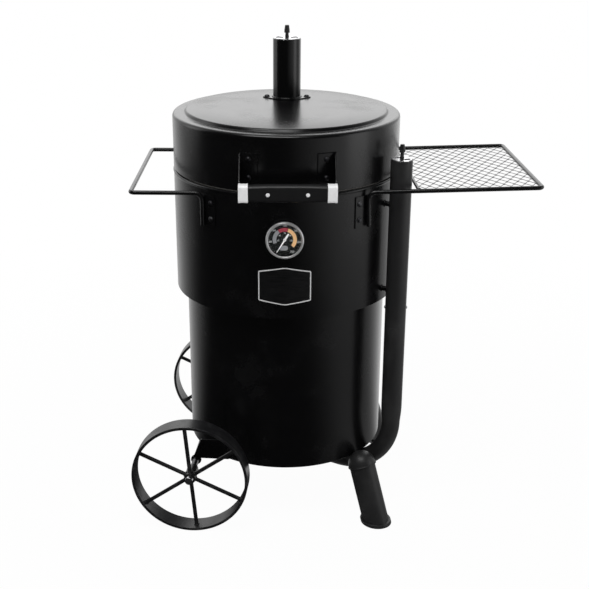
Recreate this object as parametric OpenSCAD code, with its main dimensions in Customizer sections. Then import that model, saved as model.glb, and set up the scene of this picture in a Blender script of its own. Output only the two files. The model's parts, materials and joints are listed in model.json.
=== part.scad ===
// Vertical drum smoker on two wagon wheels and two splayed legs.
// Millimetres, +Z up, -Y is the front, +X is the shelf side, Z = 0 is the ground.

/* [Drum] */
// Outside radius of the upper drum and of the lid
drum_r = 268; // [266:1:270]
// Outside radius of the lower drum
lower_r = 243; // [241:1:244]
// Thickness of the drum and lid steel
wall = 2; // [1.5:0.5:2.5]
// Height of the underside of the drum floor
floor_z = 152; // [151:1:154]
// Height of the upper drum's open lower edge
skirt_z = 553; // [545:1:558]
// Height of the ledge that joins the two drums
ledge_z = 567; // [565:1:570]
// Height of the middle of the rolled bead at the drum's mouth
bead_z = 840; // [838:1:841]

/* [Lid] */
// Height of the lid's lower edge
lid_z = 848; // [848:1:850]
// Height of the lid's outer top edge
lid_rim_z = 975; // [971:1:977]
// Height of the flat middle of the lid
crown_z = 987; // [985:1:989]
// Distance of the hinge pin behind the drum axis
hinge_y = 283; // [282:1:285]
// Height of the hinge pin
hinge_z = 846; // [846:1:847]

/* [Lid handle] */
// Turn of the lid handle about the drum axis
handle_turn = 1.2; // [0:0.2:3]
// Half length of the grip with its end ferrules
handle_half = 105.5; // [104:0.5:108]
// Length of each end ferrule
ferrule_w = 21; // [20:1:25]
// Distance of the grip's middle from the drum axis
handle_reach = 330; // [326:1:332]
// Height of the grip's middle
handle_z = 866; // [864:1:868]

/* [Flues] */
// Radius of the chimney stack
stack_r = 33.5; // [32:0.5:34]
// Distance of the stack behind the drum axis
stack_y = 100; // [98:1:102]
// Height of the top of the stack
stack_top = 1128; // [1115:1:1132]
// Radius of the intake pipe
intake_r = 25; // [24:0.5:26]
// Bearing of the intake pipe, in degrees from +X
intake_az = -31; // [-33:1:-29]
// Distance of the intake pipe from the drum axis
intake_reach = 306; // [305:1:308]
// Height of the top of the intake pipe
intake_top = 898; // [890:1:902]
// Height of the joint between the intake's two tubes
intake_joint = 495; // [480:1:510]
// Radius of the intake elbow's centreline
elbow_r = 141; // [140:1:142]
// Height at which the intake elbow starts
elbow_z = 240; // [239:1:242]

/* [Side rods] */
// Radius of the bent rods
rod_r = 5; // [4.5:0.5:5]
// Height of the left handle's rods
loop_z = 830; // [828:1:832]
// Height of the shelf's rods beside the drum
rod_z = 834; // [832:1:835]
// Half distance between the front and rear rods
rod_y = 204; // [203:1:205]
// Height of the rods' lower ends
post_z = 755; // [750:1:760]
// Reach of the left handle loop
loop_x = 347; // [335:1:350]
// Reach of the right shelf at its front corner
shelf_x = 575; // [560:1:580]
// Inner rod of the shelf, at its front end
shelf_in = 300; // [299:1:304]
// Rise of the shelf from the drum to its outer rod
shelf_rise = 13; // [0:1:15]
// Distance by which the shelf's rear end lies further in than its front end
shelf_skew = 22; // [18:1:23]
// Long way of a mesh diamond
mesh_long = 41; // [38:1:44]
// Short way of a mesh diamond
mesh_short = 24; // [22:1:26]

/* [Undercarriage] */
// Turn of the wheels and legs about the drum axis
under_turn = -4.6; // [-5:0.2:0]
// Outside radius of a wheel
wheel_r = 141; // [140:1:142]
// Distance of the axle from the drum axis
axle_reach = 204; // [202:1:206]
// Distance of a wheel's outer face from the drum's middle
wheel_out = 303; // [301:1:305]
// Width of a wheel's steel band
band_w = 46; // [44:1:48]
// Turn of the first spoke from upright
spoke_turn = 5; // [0:1:30]
// Angle of each leg from the undercarriage's middle line
leg_spread = 41.4; // [40:0.2:43]
// Distance of a foot from the drum axis
foot_reach = 329; // [327:1:331]
// Distance of a leg from the drum axis at the drum floor
leg_reach = 271; // [270:1:272]
// Radius of a leg
leg_r = 31.75; // [31:0.25:32]

/* [Thermometer] */
// Turn of the thermometer and the plate about the drum axis
front_turn = 0; // [-1:1:1]
// Height of the thermometer's middle
gauge_z = 744; // [735:1:750]
// Radius of the thermometer's bezel
gauge_r = 42.5; // [42:0.5:44]
// Needle's angle from upright, clockwise, at the low end of the scale
needle_rest = 211; // [208:1:214]
// Height of the plate's middle
plate_z = 632; // [628:1:636]

/* [Inside] */
// Height of the cooking grate's underside
grate_z = 695; // [690:1:698]
// Height of the hanging bars
hanger_z = 815; // [812:1:816]
// Radius of the charcoal basket
basket_r = 167; // [165:1:167]
// Height of the charcoal basket's lower edge
basket_z = 200; // [198:1:204]
// Height of the charcoal basket's rim
basket_top = 340; // [330:1:345]

/* [Hidden] */

// Gap left between two curved faces that would otherwise coincide
gap = 0.1;
// Radial clearance of a pin that turns in its hole
running = 0.05;
bead_r = 4;
flange_w = 14;                        // inward flanges at the drum's mouth and the lid's edge
leaf_t = 3;                           // thickness of the bent steel brackets and hinge leaves
bolt_r = 3;
bolt_hole_r = 3.2;
pin_r = 4;
cap_out = wheel_out + 7;              // ends of the hub caps
cap_r = 10;
grip_h = 37;
grip_d = 24;
ferrule_d = grip_d + 3;
ferrule_h = grip_h + 2;
lean = atan((foot_reach - leg_reach) / floor_z);

// The drum axis is moved so that the whole object is centred on the origin.
x_low = -(axle_reach + wheel_r) * cos(under_turn) - wheel_out * sin(abs(under_turn));
x_high = shelf_x + rod_r;
y_low = -(handle_reach + ferrule_d / 2) * cos(handle_turn) - handle_half * sin(handle_turn);
y_high = (axle_reach + wheel_r) * sin(abs(under_turn)) + wheel_out * cos(under_turn);
drum_x = -(x_low + x_high) / 2;
drum_y = -(y_low + y_high) / 2;

// ---- Helpers ----

function arc(cx, cy, r, a1, a2, n) =
    [for (i = [0:n]) [cx + r * cos(a1 + (a2 - a1) * i / n), cy + r * sin(a1 + (a2 - a1) * i / n)]];

function unit(v) = v / norm(v);

module on_drum() { translate([drum_x, drum_y, 0]) children(); }
module on_undercarriage() { on_drum() rotate([0, 0, under_turn]) children(); }
module on_lid_handle() { on_drum() rotate([0, 0, handle_turn]) children(); }
module on_gauge() {
    on_drum() rotate([0, 0, front_turn]) translate([0, -drum_r - 0.3, gauge_z]) rotate([90, 0, 0])
        children();
}
module on_intake() { on_drum() rotate([0, 0, intake_az]) translate([intake_reach, 0, 0]) children(); }
module on_stack() { on_drum() translate([0, stack_y, 0]) children(); }

// Front and rear copies, and all four copies, about the drum's middle planes.
module both_ends() { for (m = [0, 1]) mirror([0, m, 0]) children(); }
module both_sides() { for (m = [0, 1]) mirror([m, 0, 0]) children(); }
module four_corners() { both_sides() both_ends() children(); }

// A block of the given radii and heights between two bearings.
module sector(r1, r2, z1, z2, a1, a2) {
    rotate([0, 0, a1]) rotate_extrude(angle = a2 - a1, $fn = 180)
        translate([r1, z1]) square([r2 - r1, z2 - z1]);
}

module ring(r1, r2, h) {
    difference() {
        cylinder(r = r2, h = h, $fn = 96);
        translate([0, 0, -1]) cylinder(r = r1, h = h + 2, $fn = 96);
    }
}

// Puts a child that points along +Z on a wall, pointing outwards at one bearing and height.
module on_wall(az, r, z) { rotate([0, 0, az]) translate([r, 0, z]) rotate([0, 90, 0]) children(); }

module wall_hole(az, r, z, hole_r = bolt_hole_r) {
    on_wall(az, r - 12, z) cylinder(r = hole_r, h = 24, $fn = 32);
}

// Dome-headed bolt with a washer and a nut; the clamped stack lies below its origin.
module bolt(grip) {
    cylinder(r = 7, h = 1.2, $fn = 32);
    translate([0, 0, 1.2]) cylinder(r1 = 5.8, r2 = 3.6, h = 3.2, $fn = 32);
    translate([0, 0, -grip - 6]) cylinder(r = bolt_r, h = grip + 7, $fn = 32);
    translate([0, 0, -grip - 4.4]) cylinder(r = 5.6, h = 4.2, $fn = 6);
}

// Straight rod between two points.
module rod(p, q, r) {
    v = q - p;
    translate(p) rotate([0, acos(v.z / norm(v)), atan2(v.y, v.x)]) cylinder(r = r, h = norm(v), $fn = 32);
}

// Quarter bend at corner c, between the directions a (back to the last point) and b (to the next).
module quarter_bend(c, a, b, r, bend) {
    x = -b;
    y = -a;
    z = cross(x, y);
    o = c + (a + b) * bend;
    multmatrix([[x.x, y.x, z.x, o.x], [x.y, y.y, z.y, o.y], [x.z, y.z, z.z, o.z], [0, 0, 0, 1]])
        rotate_extrude(angle = 90, $fn = 64) translate([bend, 0]) circle(r = r, $fn = 32);
}

// Rod through the points, with a square corner of the given bend radius at each inner point.
module bent_rod(points, r, bends) {
    n = len(points);
    for (i = [0:n - 2]) {
        d = unit(points[i + 1] - points[i]);
        rod(points[i] + d * (i == 0 ? 0 : bends[i - 1]),
            points[i + 1] - d * (i == n - 2 ? 0 : bends[i]), r);
    }
    for (i = [1:n - 2])
        quarter_bend(points[i], unit(points[i - 1] - points[i]), unit(points[i + 1] - points[i]), r,
                     bends[i - 1]);
}

// ---- Drum ----

bracket_az = 52;                      // bearing of the side-rod brackets' bolts
bracket_bolts = [809, 772];
hinge_bolt_az = 9;
drum_hinge_bolt_z = 802;
lid_hinge_bolt_z = 872;
port_reach = 215;                     // middle of the air inlet in the drum floor
port_r = 15;

module upper_drum() color([0.08, 0.08, 0.09]) on_drum() difference() {
    rotate_extrude($fn = 180) union() {
        translate([drum_r - wall, skirt_z]) square([wall, bead_z - skirt_z]);
        translate([drum_r - 2.5, bead_z]) circle(r = bead_r, $fn = 48);
        translate([drum_r - flange_w, bead_z + 1]) square([flange_w - 2, wall]);
    }
    for (z = bracket_bolts, a = [bracket_az, 180 - bracket_az])
        for (s = [-1, 1]) wall_hole(s * a, drum_r, z);
    for (s = [-1, 1]) wall_hole(90 + s * hinge_bolt_az, drum_r, drum_hinge_bolt_z);
    wall_hole(-90 + front_turn, drum_r, gauge_z, 5.3);
}

module lower_drum() color([0.08, 0.08, 0.09]) on_drum() difference() {
    rotate_extrude($fn = 180) polygon([
        [0, floor_z], [lower_r - 3, floor_z], [lower_r, floor_z + 3], [lower_r, ledge_z],
        [lower_r - wall, ledge_z], [lower_r - wall, floor_z + 4], [lower_r - 4, floor_z + wall],
        [0, floor_z + wall]
    ]);
    rotate([0, 0, intake_az]) translate([port_reach, 0, floor_z - 5]) cylinder(r = port_r, h = 20, $fn = 64);
}

module step_ring() color([0.08, 0.08, 0.09]) on_drum()
    translate([0, 0, ledge_z]) ring(lower_r - wall, drum_r - wall - gap, 3);

module rim_gasket() color([0.25, 0.24, 0.22]) on_drum()
    translate([0, 0, bead_z + 3]) ring(drum_r - flange_w + 1, drum_r - 6.6, lid_z - bead_z - 3.3);

plate_w = 121;
plate_h = 72;                         // height of the plate at its sides
plate_peak = 10;                      // rise of its upper and lower edges in the middle
module name_plate() color([0.15, 0.15, 0.16]) on_drum() rotate([0, 0, front_turn]) intersection() {
    sector(drum_r + gap, drum_r + 1.6, plate_z - plate_h, plate_z + plate_h, -105, -75);
    translate([0, -drum_r + 20, plate_z]) rotate([90, 0, 0]) linear_extrude(40) polygon([
        for (m = [1, -1]) each [
            [m * plate_w / 2, -m * (plate_h / 2 - 3)], [m * plate_w / 2, m * (plate_h / 2 - 3)],
            [m * (plate_w / 2 - 4), m * plate_h / 2], [0, m * (plate_h / 2 + plate_peak)],
            [-m * (plate_w / 2 - 4), m * plate_h / 2]
        ]
    ]);
}

// ---- Thermometer: the local +Z axis points out of the dial ----

dial_r = gauge_r - 4.3;
module gauge_case() color([0.1, 0.1, 0.1]) on_gauge() difference() {
    cylinder(r = gauge_r - 2.5, h = 12, $fn = 96);
    translate([0, 0, 1.6]) cylinder(r = gauge_r - 4, h = 12, $fn = 96);
    translate([0, 0, -1]) cylinder(r = 5.1, h = 4, $fn = 32);
}

module gauge_bezel() color([0.85, 0.85, 0.86]) on_gauge() rotate_extrude($fn = 96) polygon([
    [gauge_r - 2.4, 7.5], [gauge_r - 0.4, 7.5], [gauge_r, 8.5], [gauge_r, 12], [gauge_r - 1.4, 14.2],
    [gauge_r - 3.4, 15], [gauge_r - 5.6, 13.4], [gauge_r - 5.6, 12.3], [gauge_r - 2.4, 12.3]
]);

module gauge_dial() color([0.12, 0.12, 0.12]) on_gauge() translate([0, 0, 3]) ring(1.5, dial_r, 0.8);

module gauge_lens() color([0.8, 0.9, 0.95, 0.3]) on_gauge()
    translate([0, 0, 10.8]) cylinder(r = dial_r, h = 1.2, $fn = 96);

module gauge_stem() color([0.7, 0.7, 0.7]) on_gauge() {
    cylinder(r = 1.2, h = 8.4, $fn = 32);
    translate([0, 0, -16]) cylinder(r = 5, h = 17.5, $fn = 48);
    translate([0, 0, -8.6]) cylinder(r = 9, h = 5, $fn = 6);
    translate([0, 0, -84]) cylinder(r = 3, h = 70, $fn = 32);
}

module gauge_needle() color([0.95, 0.95, 0.95]) on_gauge() rotate([0, 0, -needle_rest]) difference() {
    union() {
        translate([0, 0, 5.4]) cylinder(r = 3.4, h = 2.4, $fn = 32);
        translate([0, 0, 6]) linear_extrude(0.8)
            polygon([[-1.7, -17], [1.7, -17], [2.1, 0], [0.5, 34], [-0.5, 34], [-2.1, 0]]);
    }
    translate([0, 0, 4]) cylinder(r = 1.2 + running, h = 6, $fn = 32);
}

// ---- Intake ----

screw_z = 541;
tube_wall = 2;
neck_r = intake_r - tube_wall - gap;

module intake_pipe() color([0.08, 0.08, 0.09]) on_intake() difference() {
    translate([0, 0, intake_joint]) ring(intake_r - tube_wall, intake_r, intake_top - intake_joint);
    pipe_screw_places() translate([0, 0, -8]) cylinder(r = 2.2, h = 12, $fn = 24);
}

module pipe_screw_places() {
    for (a = [30, -150]) rotate([0, 0, a]) translate([intake_r, 0, screw_z]) rotate([0, 90, 0]) children();
}

module pipe_screws() color([0.5, 0.5, 0.5]) on_intake() pipe_screw_places() {
    translate([0, 0, 0.3]) cylinder(r1 = 4, r2 = 2.6, h = 2.2, $fn = 32);
    translate([0, 0, -6]) cylinder(r = 2, h = 7, $fn = 24);
}

cone_h = 30;                          // height of the cone that narrows the pipe to the elbow
elbow_out = 22;
elbow_in = 20;
run_end = 145;                        // end of the plug that closes the elbow under the floor
riser_out = 17;

module intake_lower() color([0.08, 0.08, 0.09]) on_intake() difference() {
    union() {
        translate([0, 0, elbow_z]) cylinder(r1 = elbow_out, r2 = intake_r, h = cone_h, $fn = 96);
        translate([0, 0, elbow_z + cone_h]) cylinder(r = intake_r, h = intake_joint - elbow_z - cone_h, $fn = 96);
        translate([0, 0, intake_joint - 1]) cylinder(r = neck_r, h = 61, $fn = 96);
    }
    translate([0, 0, elbow_z - 1]) cylinder(r = elbow_in, h = cone_h + 2, $fn = 96);
    translate([0, 0, elbow_z + cone_h]) cylinder(r = neck_r - tube_wall, h = 400, $fn = 96);
    pipe_screw_places() translate([0, 0, -8]) cylinder(r = 2.2, h = 12, $fn = 24);
}

// Elbow under the drum, closed by a plug, with a riser up to the hole in the floor.
module intake_elbow() color([0.08, 0.08, 0.09]) on_drum() rotate([0, 0, intake_az]) difference() {
    union() {
        elbow_bend(elbow_out, 0);
        elbow_plug();
        elbow_riser(riser_out, floor_z);
    }
    elbow_bend(elbow_in, 1);
    elbow_riser(port_r, floor_z + 1);
}

// Quarter bend of a round tube, carried past its upper end by some degrees.
module elbow_bend(r, past) {
    translate([intake_reach - elbow_r, 0, elbow_z]) rotate([-90, 0, 0]) rotate([0, 0, -past])
        rotate_extrude(angle = 90 + past, $fn = 96) translate([elbow_r, 0]) circle(r = r, $fn = 64);
}

module elbow_plug() {
    translate([run_end, 0, elbow_z - elbow_r]) rotate([0, 90, 0])
        cylinder(r = elbow_out, h = intake_reach - elbow_r - run_end, $fn = 64);
}

module elbow_riser(r, top) {
    bottom = elbow_z - elbow_r + 8;
    translate([port_reach, 0, bottom]) cylinder(r = r, h = top - bottom, $fn = 64);
}

standoff_z = [790, 582];
module pipe_standoffs() color([0.1, 0.1, 0.1]) difference() {
    on_drum() for (z = standoff_z) on_wall(intake_az, drum_r - 4, z)
        cylinder(r = 6, h = intake_reach - intake_r - drum_r + 8, $fn = 32);
    on_drum() cylinder(r = drum_r + gap, h = 900, $fn = 180);
    on_intake() cylinder(r = intake_r + gap, h = 900, $fn = 96);
}

// ---- Turning dampers on top of the flues ----

// Plate in the mouth of a tube, with two openings and a stud; its top is at z = 0.
module flue_cap(r, stud_h) {
    difference() {
        translate([0, 0, -1.6]) cylinder(r = r - gap, h = 1.6, $fn = 96);
        for (a = [0, 180]) rotate([0, 0, a]) translate([0, 0, -3])
            sector(r * 0.3, r * 0.86, 0, 5, 50, 130);
    }
    translate([0, 0, -1]) cylinder(r = 3, h = stud_h + 1, $fn = 32);
}

// Turning plate with the same openings and a small finger tab, at a quarter turn from the cap's.
module damper_plate(r, tab_az) {
    translate([0, 0, 0.3]) linear_extrude(1.5) difference() {
        union() {
            circle(r = r, $fn = 96);
            rotate(tab_az) translate([r * 0.9, -7]) square([r * 0.1 + 4, 14]);
        }
        for (a = [0, 180]) rotate(a)
            polygon(concat(arc(0, 0, r * 0.86, -40, 40, 12), arc(0, 0, r * 0.3, 40, -40, 6)));
        circle(r = 3 + running, $fn = 32);
    }
}

// Hexagon nut and tapered knob on the stud; top is the height of the knob's top.
module damper_knob(top) {
    difference() {
        union() {
            translate([0, 0, 2]) cylinder(r = 5.4, h = 5, $fn = 6);
            translate([0, 0, 6]) cylinder(r = 4, h = top - 20, $fn = 32);
            translate([0, 0, top - 18]) cylinder(r = 6.6, h = 5, $fn = 48);
            translate([0, 0, top - 13]) cylinder(r1 = 6.6, r2 = 4.6, h = 13, $fn = 48);
        }
        translate([0, 0, -1]) cylinder(r = 3 + running, h = top - 5, $fn = 32);
    }
}

stack_knob_h = 31;
intake_knob_h = 35;
module intake_cap() color([0.75, 0.75, 0.76]) on_intake() translate([0, 0, intake_top])
    flue_cap(intake_r - tube_wall, intake_knob_h - 8);
module intake_damper_plate() color([0.8, 0.8, 0.8]) on_intake() translate([0, 0, intake_top])
    damper_plate(intake_r - 0.5, -41);
module intake_knob() color([0.2, 0.2, 0.2]) on_intake() translate([0, 0, intake_top])
    damper_knob(intake_knob_h);

// ---- Stack ----

stack_wall = 1.5;
flue_hole_r = 30;
stack_bolt_x = 48;
flange_t = 2.5;
module stack_tube() color([0.08, 0.08, 0.09]) on_stack()
    translate([0, 0, crown_z]) ring(stack_r - stack_wall, stack_r, stack_top - crown_z);

module stack_flange() color([0.08, 0.08, 0.09]) on_stack() translate([0, 0, crown_z]) difference() {
    linear_extrude(flange_t) hull() {
        circle(r = stack_r + 8, $fn = 48);
        both_sides() translate([stack_bolt_x, 0]) circle(r = 10, $fn = 32);
    }
    translate([0, 0, -1]) cylinder(r = stack_r + gap, h = 6, $fn = 96);
    both_sides() translate([stack_bolt_x, 0, -1]) cylinder(r = bolt_hole_r, h = 6, $fn = 32);
}

module stack_cap() color([0.75, 0.75, 0.76]) on_stack() translate([0, 0, stack_top])
    flue_cap(stack_r - stack_wall, stack_knob_h - 8);
module stack_damper_plate() color([0.8, 0.8, 0.8]) on_stack() translate([0, 0, stack_top])
    damper_plate(stack_r - 0.5, -78);
module stack_knob() color([0.2, 0.2, 0.2]) on_stack() translate([0, 0, stack_top])
    damper_knob(stack_knob_h);

// ---- Lid ----

rim_round = 8;
handle_bolt_az = 18.3;                // bearing of the handle bolts from the handle's middle
handle_bolt_z = [921, 880];
lid_outer = concat(
    [[drum_r, lid_z]], arc(drum_r - rim_round, lid_rim_z - rim_round, rim_round, 0, 90, 6),
    [[241, lid_rim_z], [238.5, lid_rim_z + 1.2], [236.5, crown_z - 6], [233, crown_z - 5],
     [215, crown_z - 2.6], [190, crown_z - 0.9], [162, crown_z], [0, crown_z]]
);
lid_inner = concat(
    [[0, crown_z - wall], [162, crown_z - wall], [190, crown_z - wall - 0.9], [215, crown_z - wall - 2.6],
     [232, crown_z - wall - 5], [235, crown_z - wall - 6.4], [237.5, lid_rim_z - wall]],
    arc(drum_r - rim_round, lid_rim_z - rim_round, rim_round - wall, 90, 0, 6),
    [[drum_r - wall, lid_z + wall], [drum_r - flange_w, lid_z + wall], [drum_r - flange_w, lid_z]]
);

module lid_shell() color([0.08, 0.08, 0.09]) difference() {
    on_drum() rotate_extrude($fn = 180) polygon(concat(lid_outer, lid_inner));
    on_stack() translate([0, 0, crown_z - 10]) cylinder(r = flue_hole_r, h = 20, $fn = 96);
    on_stack() both_sides() translate([stack_bolt_x, 0, crown_z - 10])
        cylinder(r = bolt_hole_r, h = 20, $fn = 32);
    on_lid_handle() for (z = handle_bolt_z, s = [-1, 1]) wall_hole(-90 + s * handle_bolt_az, drum_r, z);
    on_drum() for (s = [-1, 1]) wall_hole(90 + s * hinge_bolt_az, drum_r, lid_hinge_bolt_z);
}

module lid_bolts() color([0.6, 0.6, 0.62]) {
    on_lid_handle() for (z = handle_bolt_z, s = [-1, 1])
        on_wall(-90 + s * handle_bolt_az, drum_r + leaf_t + gap, z) bolt(leaf_t + wall + gap);
    on_drum() for (s = [-1, 1]) on_wall(90 + s * hinge_bolt_az, drum_r + leaf_t + gap, lid_hinge_bolt_z)
        bolt(leaf_t + wall + gap);
    on_stack() both_sides() translate([stack_bolt_x, 0, crown_z + flange_t]) bolt(flange_t + wall);
}

// Two bent angle brackets and the flat bar that they carry, welded into one piece.
bar_t = 4;
bar_back = handle_reach - ferrule_d / 2 - bar_t;
strap_z = [866, 935];                 // lower and upper ends of the brackets' straps
module handle_brackets() color([0.08, 0.08, 0.09]) on_lid_handle() {
    both_sides() {
        difference() {
            sector(drum_r + gap, drum_r + gap + leaf_t, strap_z[0], strap_z[1], -76, -66.4);
            for (z = handle_bolt_z) wall_hole(-90 + handle_bolt_az, drum_r, z);
        }
        difference() {
            translate([handle_half - leaf_t, 0, 0]) rotate([90, 0, 90]) linear_extrude(leaf_t) polygon([
                [-240, strap_z[1]], [-256, strap_z[1]], [-bar_back, handle_z + 18],
                [-bar_back, handle_z - 14], [-bar_back + 14, handle_z - 14], [-240, strap_z[0] + 6]
            ]);
            cylinder(r = drum_r + gap, h = 1000, $fn = 180);
        }
    }
    translate([-handle_half, -bar_back - bar_t, handle_z - 13]) cube([2 * handle_half, bar_t, 26]);
}

grip_round = 7;
// Long rounded bar along X, between two lengths and of the given height and depth.
module rounded_bar(x1, x2, h, d) {
    translate([x1, 0, 0]) rotate([90, 0, 90]) linear_extrude(x2 - x1)
        polygon([for (i = [0:3]) let (sx = i == 0 || i == 3 ? 1 : -1, sy = i < 2 ? 1 : -1)
            each arc(sx * (d / 2 - grip_round), sy * (h / 2 - grip_round), grip_round,
                     90 * i, 90 * i + 90, 5)]);
}

module on_grip() { on_lid_handle() translate([0, -handle_reach, handle_z]) children(); }

module handle_grip() color([0.05, 0.05, 0.05]) on_grip() hull() {
    both_sides() rounded_bar(handle_half - ferrule_w - 1, handle_half - ferrule_w, grip_h - 3, grip_d);
    rounded_bar(-34, 34, grip_h, grip_d);
}

module handle_ferrules() color([0.85, 0.85, 0.86]) on_grip()
    both_sides() rounded_bar(handle_half - ferrule_w + 0.1, handle_half, ferrule_h, ferrule_d);

module handle_screws() color([0.85, 0.85, 0.86]) on_grip() both_sides()
    translate([42.5, -grip_d / 2, -1]) rotate([90, 0, 0]) {
        cylinder(r1 = 4.2, r2 = 3, h = 1.4, $fn = 32);
        translate([0, 0, -grip_d - 3]) cylinder(r = 1.8, h = grip_d + 4, $fn = 24);
    }

// ---- Lid hinge ----

knuckle_r = 8;
lid_knuckle = 27;                     // half length of the lid's knuckle
drum_knuckle = [27.5, 72];
drum_leaf_z = [788, 829];
block_z = [816, 837];                 // blocks that carry the drum's knuckles, above the leaf's bolts
lid_leaf_z = [856, 890];
bead_clear_z = 833;                   // above this height the drum's leaf stands clear of the bead
bead_clear_r = drum_r + 2.2;

module on_hinge() { on_drum() translate([0, hinge_y, hinge_z]) rotate([0, 90, 0]) children(); }

module hinge_drum_leaf() color([0.08, 0.08, 0.09]) difference() {
    union() {
        on_drum() sector(drum_r - wall, drum_r + gap + leaf_t, drum_leaf_z[0], drum_leaf_z[1], 73, 107);
        both_knuckles() translate([drum_knuckle[0], 0, 0]) {
            on_drum() rotate([90, 0, 90]) linear_extrude(drum_knuckle[1] - drum_knuckle[0])
                polygon([[245, block_z[0]], [245, block_z[1]], [273, block_z[1]], [hinge_y - 5, hinge_z],
                         [hinge_y + 6, hinge_z - 4], [274, block_z[0]]]);
            on_hinge() cylinder(r = knuckle_r, h = drum_knuckle[1] - drum_knuckle[0], $fn = 48);
        }
    }
    on_drum() cylinder(r = drum_r + gap, h = bead_clear_z + 1, $fn = 180);
    on_drum() translate([0, 0, bead_clear_z]) cylinder(r = bead_clear_r, h = 30, $fn = 180);
    on_hinge() translate([0, 0, -100]) cylinder(r = pin_r + running, h = 200, $fn = 48);
    on_drum() for (s = [-1, 1]) wall_hole(90 + s * hinge_bolt_az, drum_r, drum_hinge_bolt_z);
}

module both_knuckles() {
    children();
    translate([2 * drum_x, 0, 0]) mirror([1, 0, 0]) children();
}

module hinge_lid_leaf() color([0.08, 0.08, 0.09]) difference() {
    union() {
        on_drum() sector(drum_r - wall, drum_r + gap + leaf_t, lid_leaf_z[0], lid_leaf_z[1], 77, 103);
        on_drum() translate([-lid_knuckle, 0, 0]) rotate([90, 0, 90]) linear_extrude(2 * lid_knuckle)
            polygon([[250, 857], [250, 880], [273, 880], [hinge_y + 7, hinge_z + 3],
                     [hinge_y - 6, hinge_z + 4]]);
        on_hinge() translate([0, 0, -lid_knuckle]) cylinder(r = knuckle_r, h = 2 * lid_knuckle, $fn = 48);
    }
    on_drum() cylinder(r = drum_r + gap, h = 1000, $fn = 180);
    on_hinge() translate([0, 0, -100]) cylinder(r = pin_r + running, h = 200, $fn = 48);
    on_drum() for (s = [-1, 1]) wall_hole(90 + s * hinge_bolt_az, drum_r, lid_hinge_bolt_z);
}

module hinge_pin() color([0.6, 0.6, 0.62]) on_hinge() {
    translate([0, 0, -drum_knuckle[1] - 4]) cylinder(r = pin_r, h = 2 * drum_knuckle[1] + 8, $fn = 48);
    translate([0, 0, drum_knuckle[1] + 0.4]) cylinder(r = 6.5, h = 4, $fn = 48);
}

// ---- Side handle and shelf ----

corner_bend = 10;
post_bend = 18;
// The upright rod ends stand against the brackets.
post_x = sqrt(pow(drum_r + leaf_t + 2 * gap + rod_r, 2) - rod_y * rod_y);
skew = shelf_skew / (2 * rod_y);

shelf_tilt = atan(shelf_rise / (shelf_x - post_x));
shelf_end = post_x + (shelf_x - post_x) / cos(shelf_tilt);
weld_r = rod_r + 0.3;                 // the shelf's outer corners

// The shelf is drawn level and tilted about the tops of its upright rods.
module on_shelf() {
    on_drum() translate([post_x, 0, rod_z]) rotate([0, -shelf_tilt, 0]) translate([-post_x, 0, 0]) children();
}

// Point of the level shelf, moved in towards the rear.
function skewed(x, y) = [x - skew * (y + rod_y), y];

module left_handle() color([0.08, 0.08, 0.09]) on_drum() bent_rod([
    [-post_x, -rod_y, post_z], [-post_x, -rod_y, loop_z], [-loop_x, -rod_y, loop_z],
    [-loop_x, rod_y, loop_z], [-post_x, rod_y, loop_z], [-post_x, rod_y, post_z]
], rod_r, [post_bend, corner_bend, corner_bend, post_bend]);

module shelf_frame() color([0.08, 0.08, 0.09]) on_shelf() {
    front = concat(skewed(shelf_end, -rod_y), 0);
    rear = concat(skewed(shelf_end, rod_y), 0);
    for (corner = [front, rear]) {
        bent_rod([[post_x, corner.y, post_z - rod_z], [post_x, corner.y, 0], corner], rod_r, [post_bend]);
        translate(corner) cylinder(r = weld_r, h = 2 * weld_r, center = true, $fn = 48);
    }
    rod(front, rear, rod_r);
    rod(concat(skewed(shelf_in, -rod_y), 0), concat(skewed(shelf_in, rod_y), 0), rod_r - 1);
}

mesh_t = 2;
strand = 3;
sheet_x = [shelf_in + rod_r - 1 + 2 * gap, shelf_end - rod_r - 2 * gap];
sheet_y = rod_y - rod_r - gap;
corner_cut = 4;                       // the sheet's outer corners clear the frame's welded corners
module shelf_mesh() color([0.1, 0.1, 0.1]) on_shelf() translate([0, 0, -mesh_t / 2])
    linear_extrude(mesh_t) difference() {
        polygon([
            skewed(sheet_x[0], -sheet_y), skewed(sheet_x[1] - corner_cut, -sheet_y),
            skewed(sheet_x[1], corner_cut - sheet_y), skewed(sheet_x[1], sheet_y - corner_cut),
            skewed(sheet_x[1] - corner_cut, sheet_y), skewed(sheet_x[0], sheet_y)
        ]);
        for (i = [0:21], j = [0:9]) let (
            x = shelf_in + 17 + i * mesh_short / 2,
            y = (j - 4.5 + (i % 2) / 2) * mesh_long
        ) if (abs(y) < rod_y - 22) translate(skewed(x, y)) polygon([
            [mesh_short / 2 - strand, 0], [0, mesh_long / 2 - strand * 1.3],
            [strand - mesh_short / 2, 0], [0, strand * 1.3 - mesh_long / 2]
        ]);
    }

module rod_brackets() color([0.08, 0.08, 0.09]) on_drum() four_corners() difference() {
    sector(drum_r + gap, drum_r + gap + leaf_t, post_z - 2, rod_z - 8, -54.3, -46);
    for (z = bracket_bolts) wall_hole(-bracket_az, drum_r, z);
}

module drum_bolts() color([0.6, 0.6, 0.62]) on_drum() {
    four_corners() for (z = bracket_bolts)
        on_wall(-bracket_az, drum_r + leaf_t + gap, z) bolt(leaf_t + wall + gap);
    for (s = [-1, 1]) on_wall(90 + s * hinge_bolt_az, drum_r + leaf_t + gap, drum_hinge_bolt_z)
        bolt(leaf_t + wall + gap);
}

// ---- Legs ----

socket_r = 34;
socket_bottom = 146;                  // along the leg, from the ground
dome_start = 150;
leg_end = 154;
foot_r = 36.5;
foot_floor = 3;
foot_top = 8;

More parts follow.
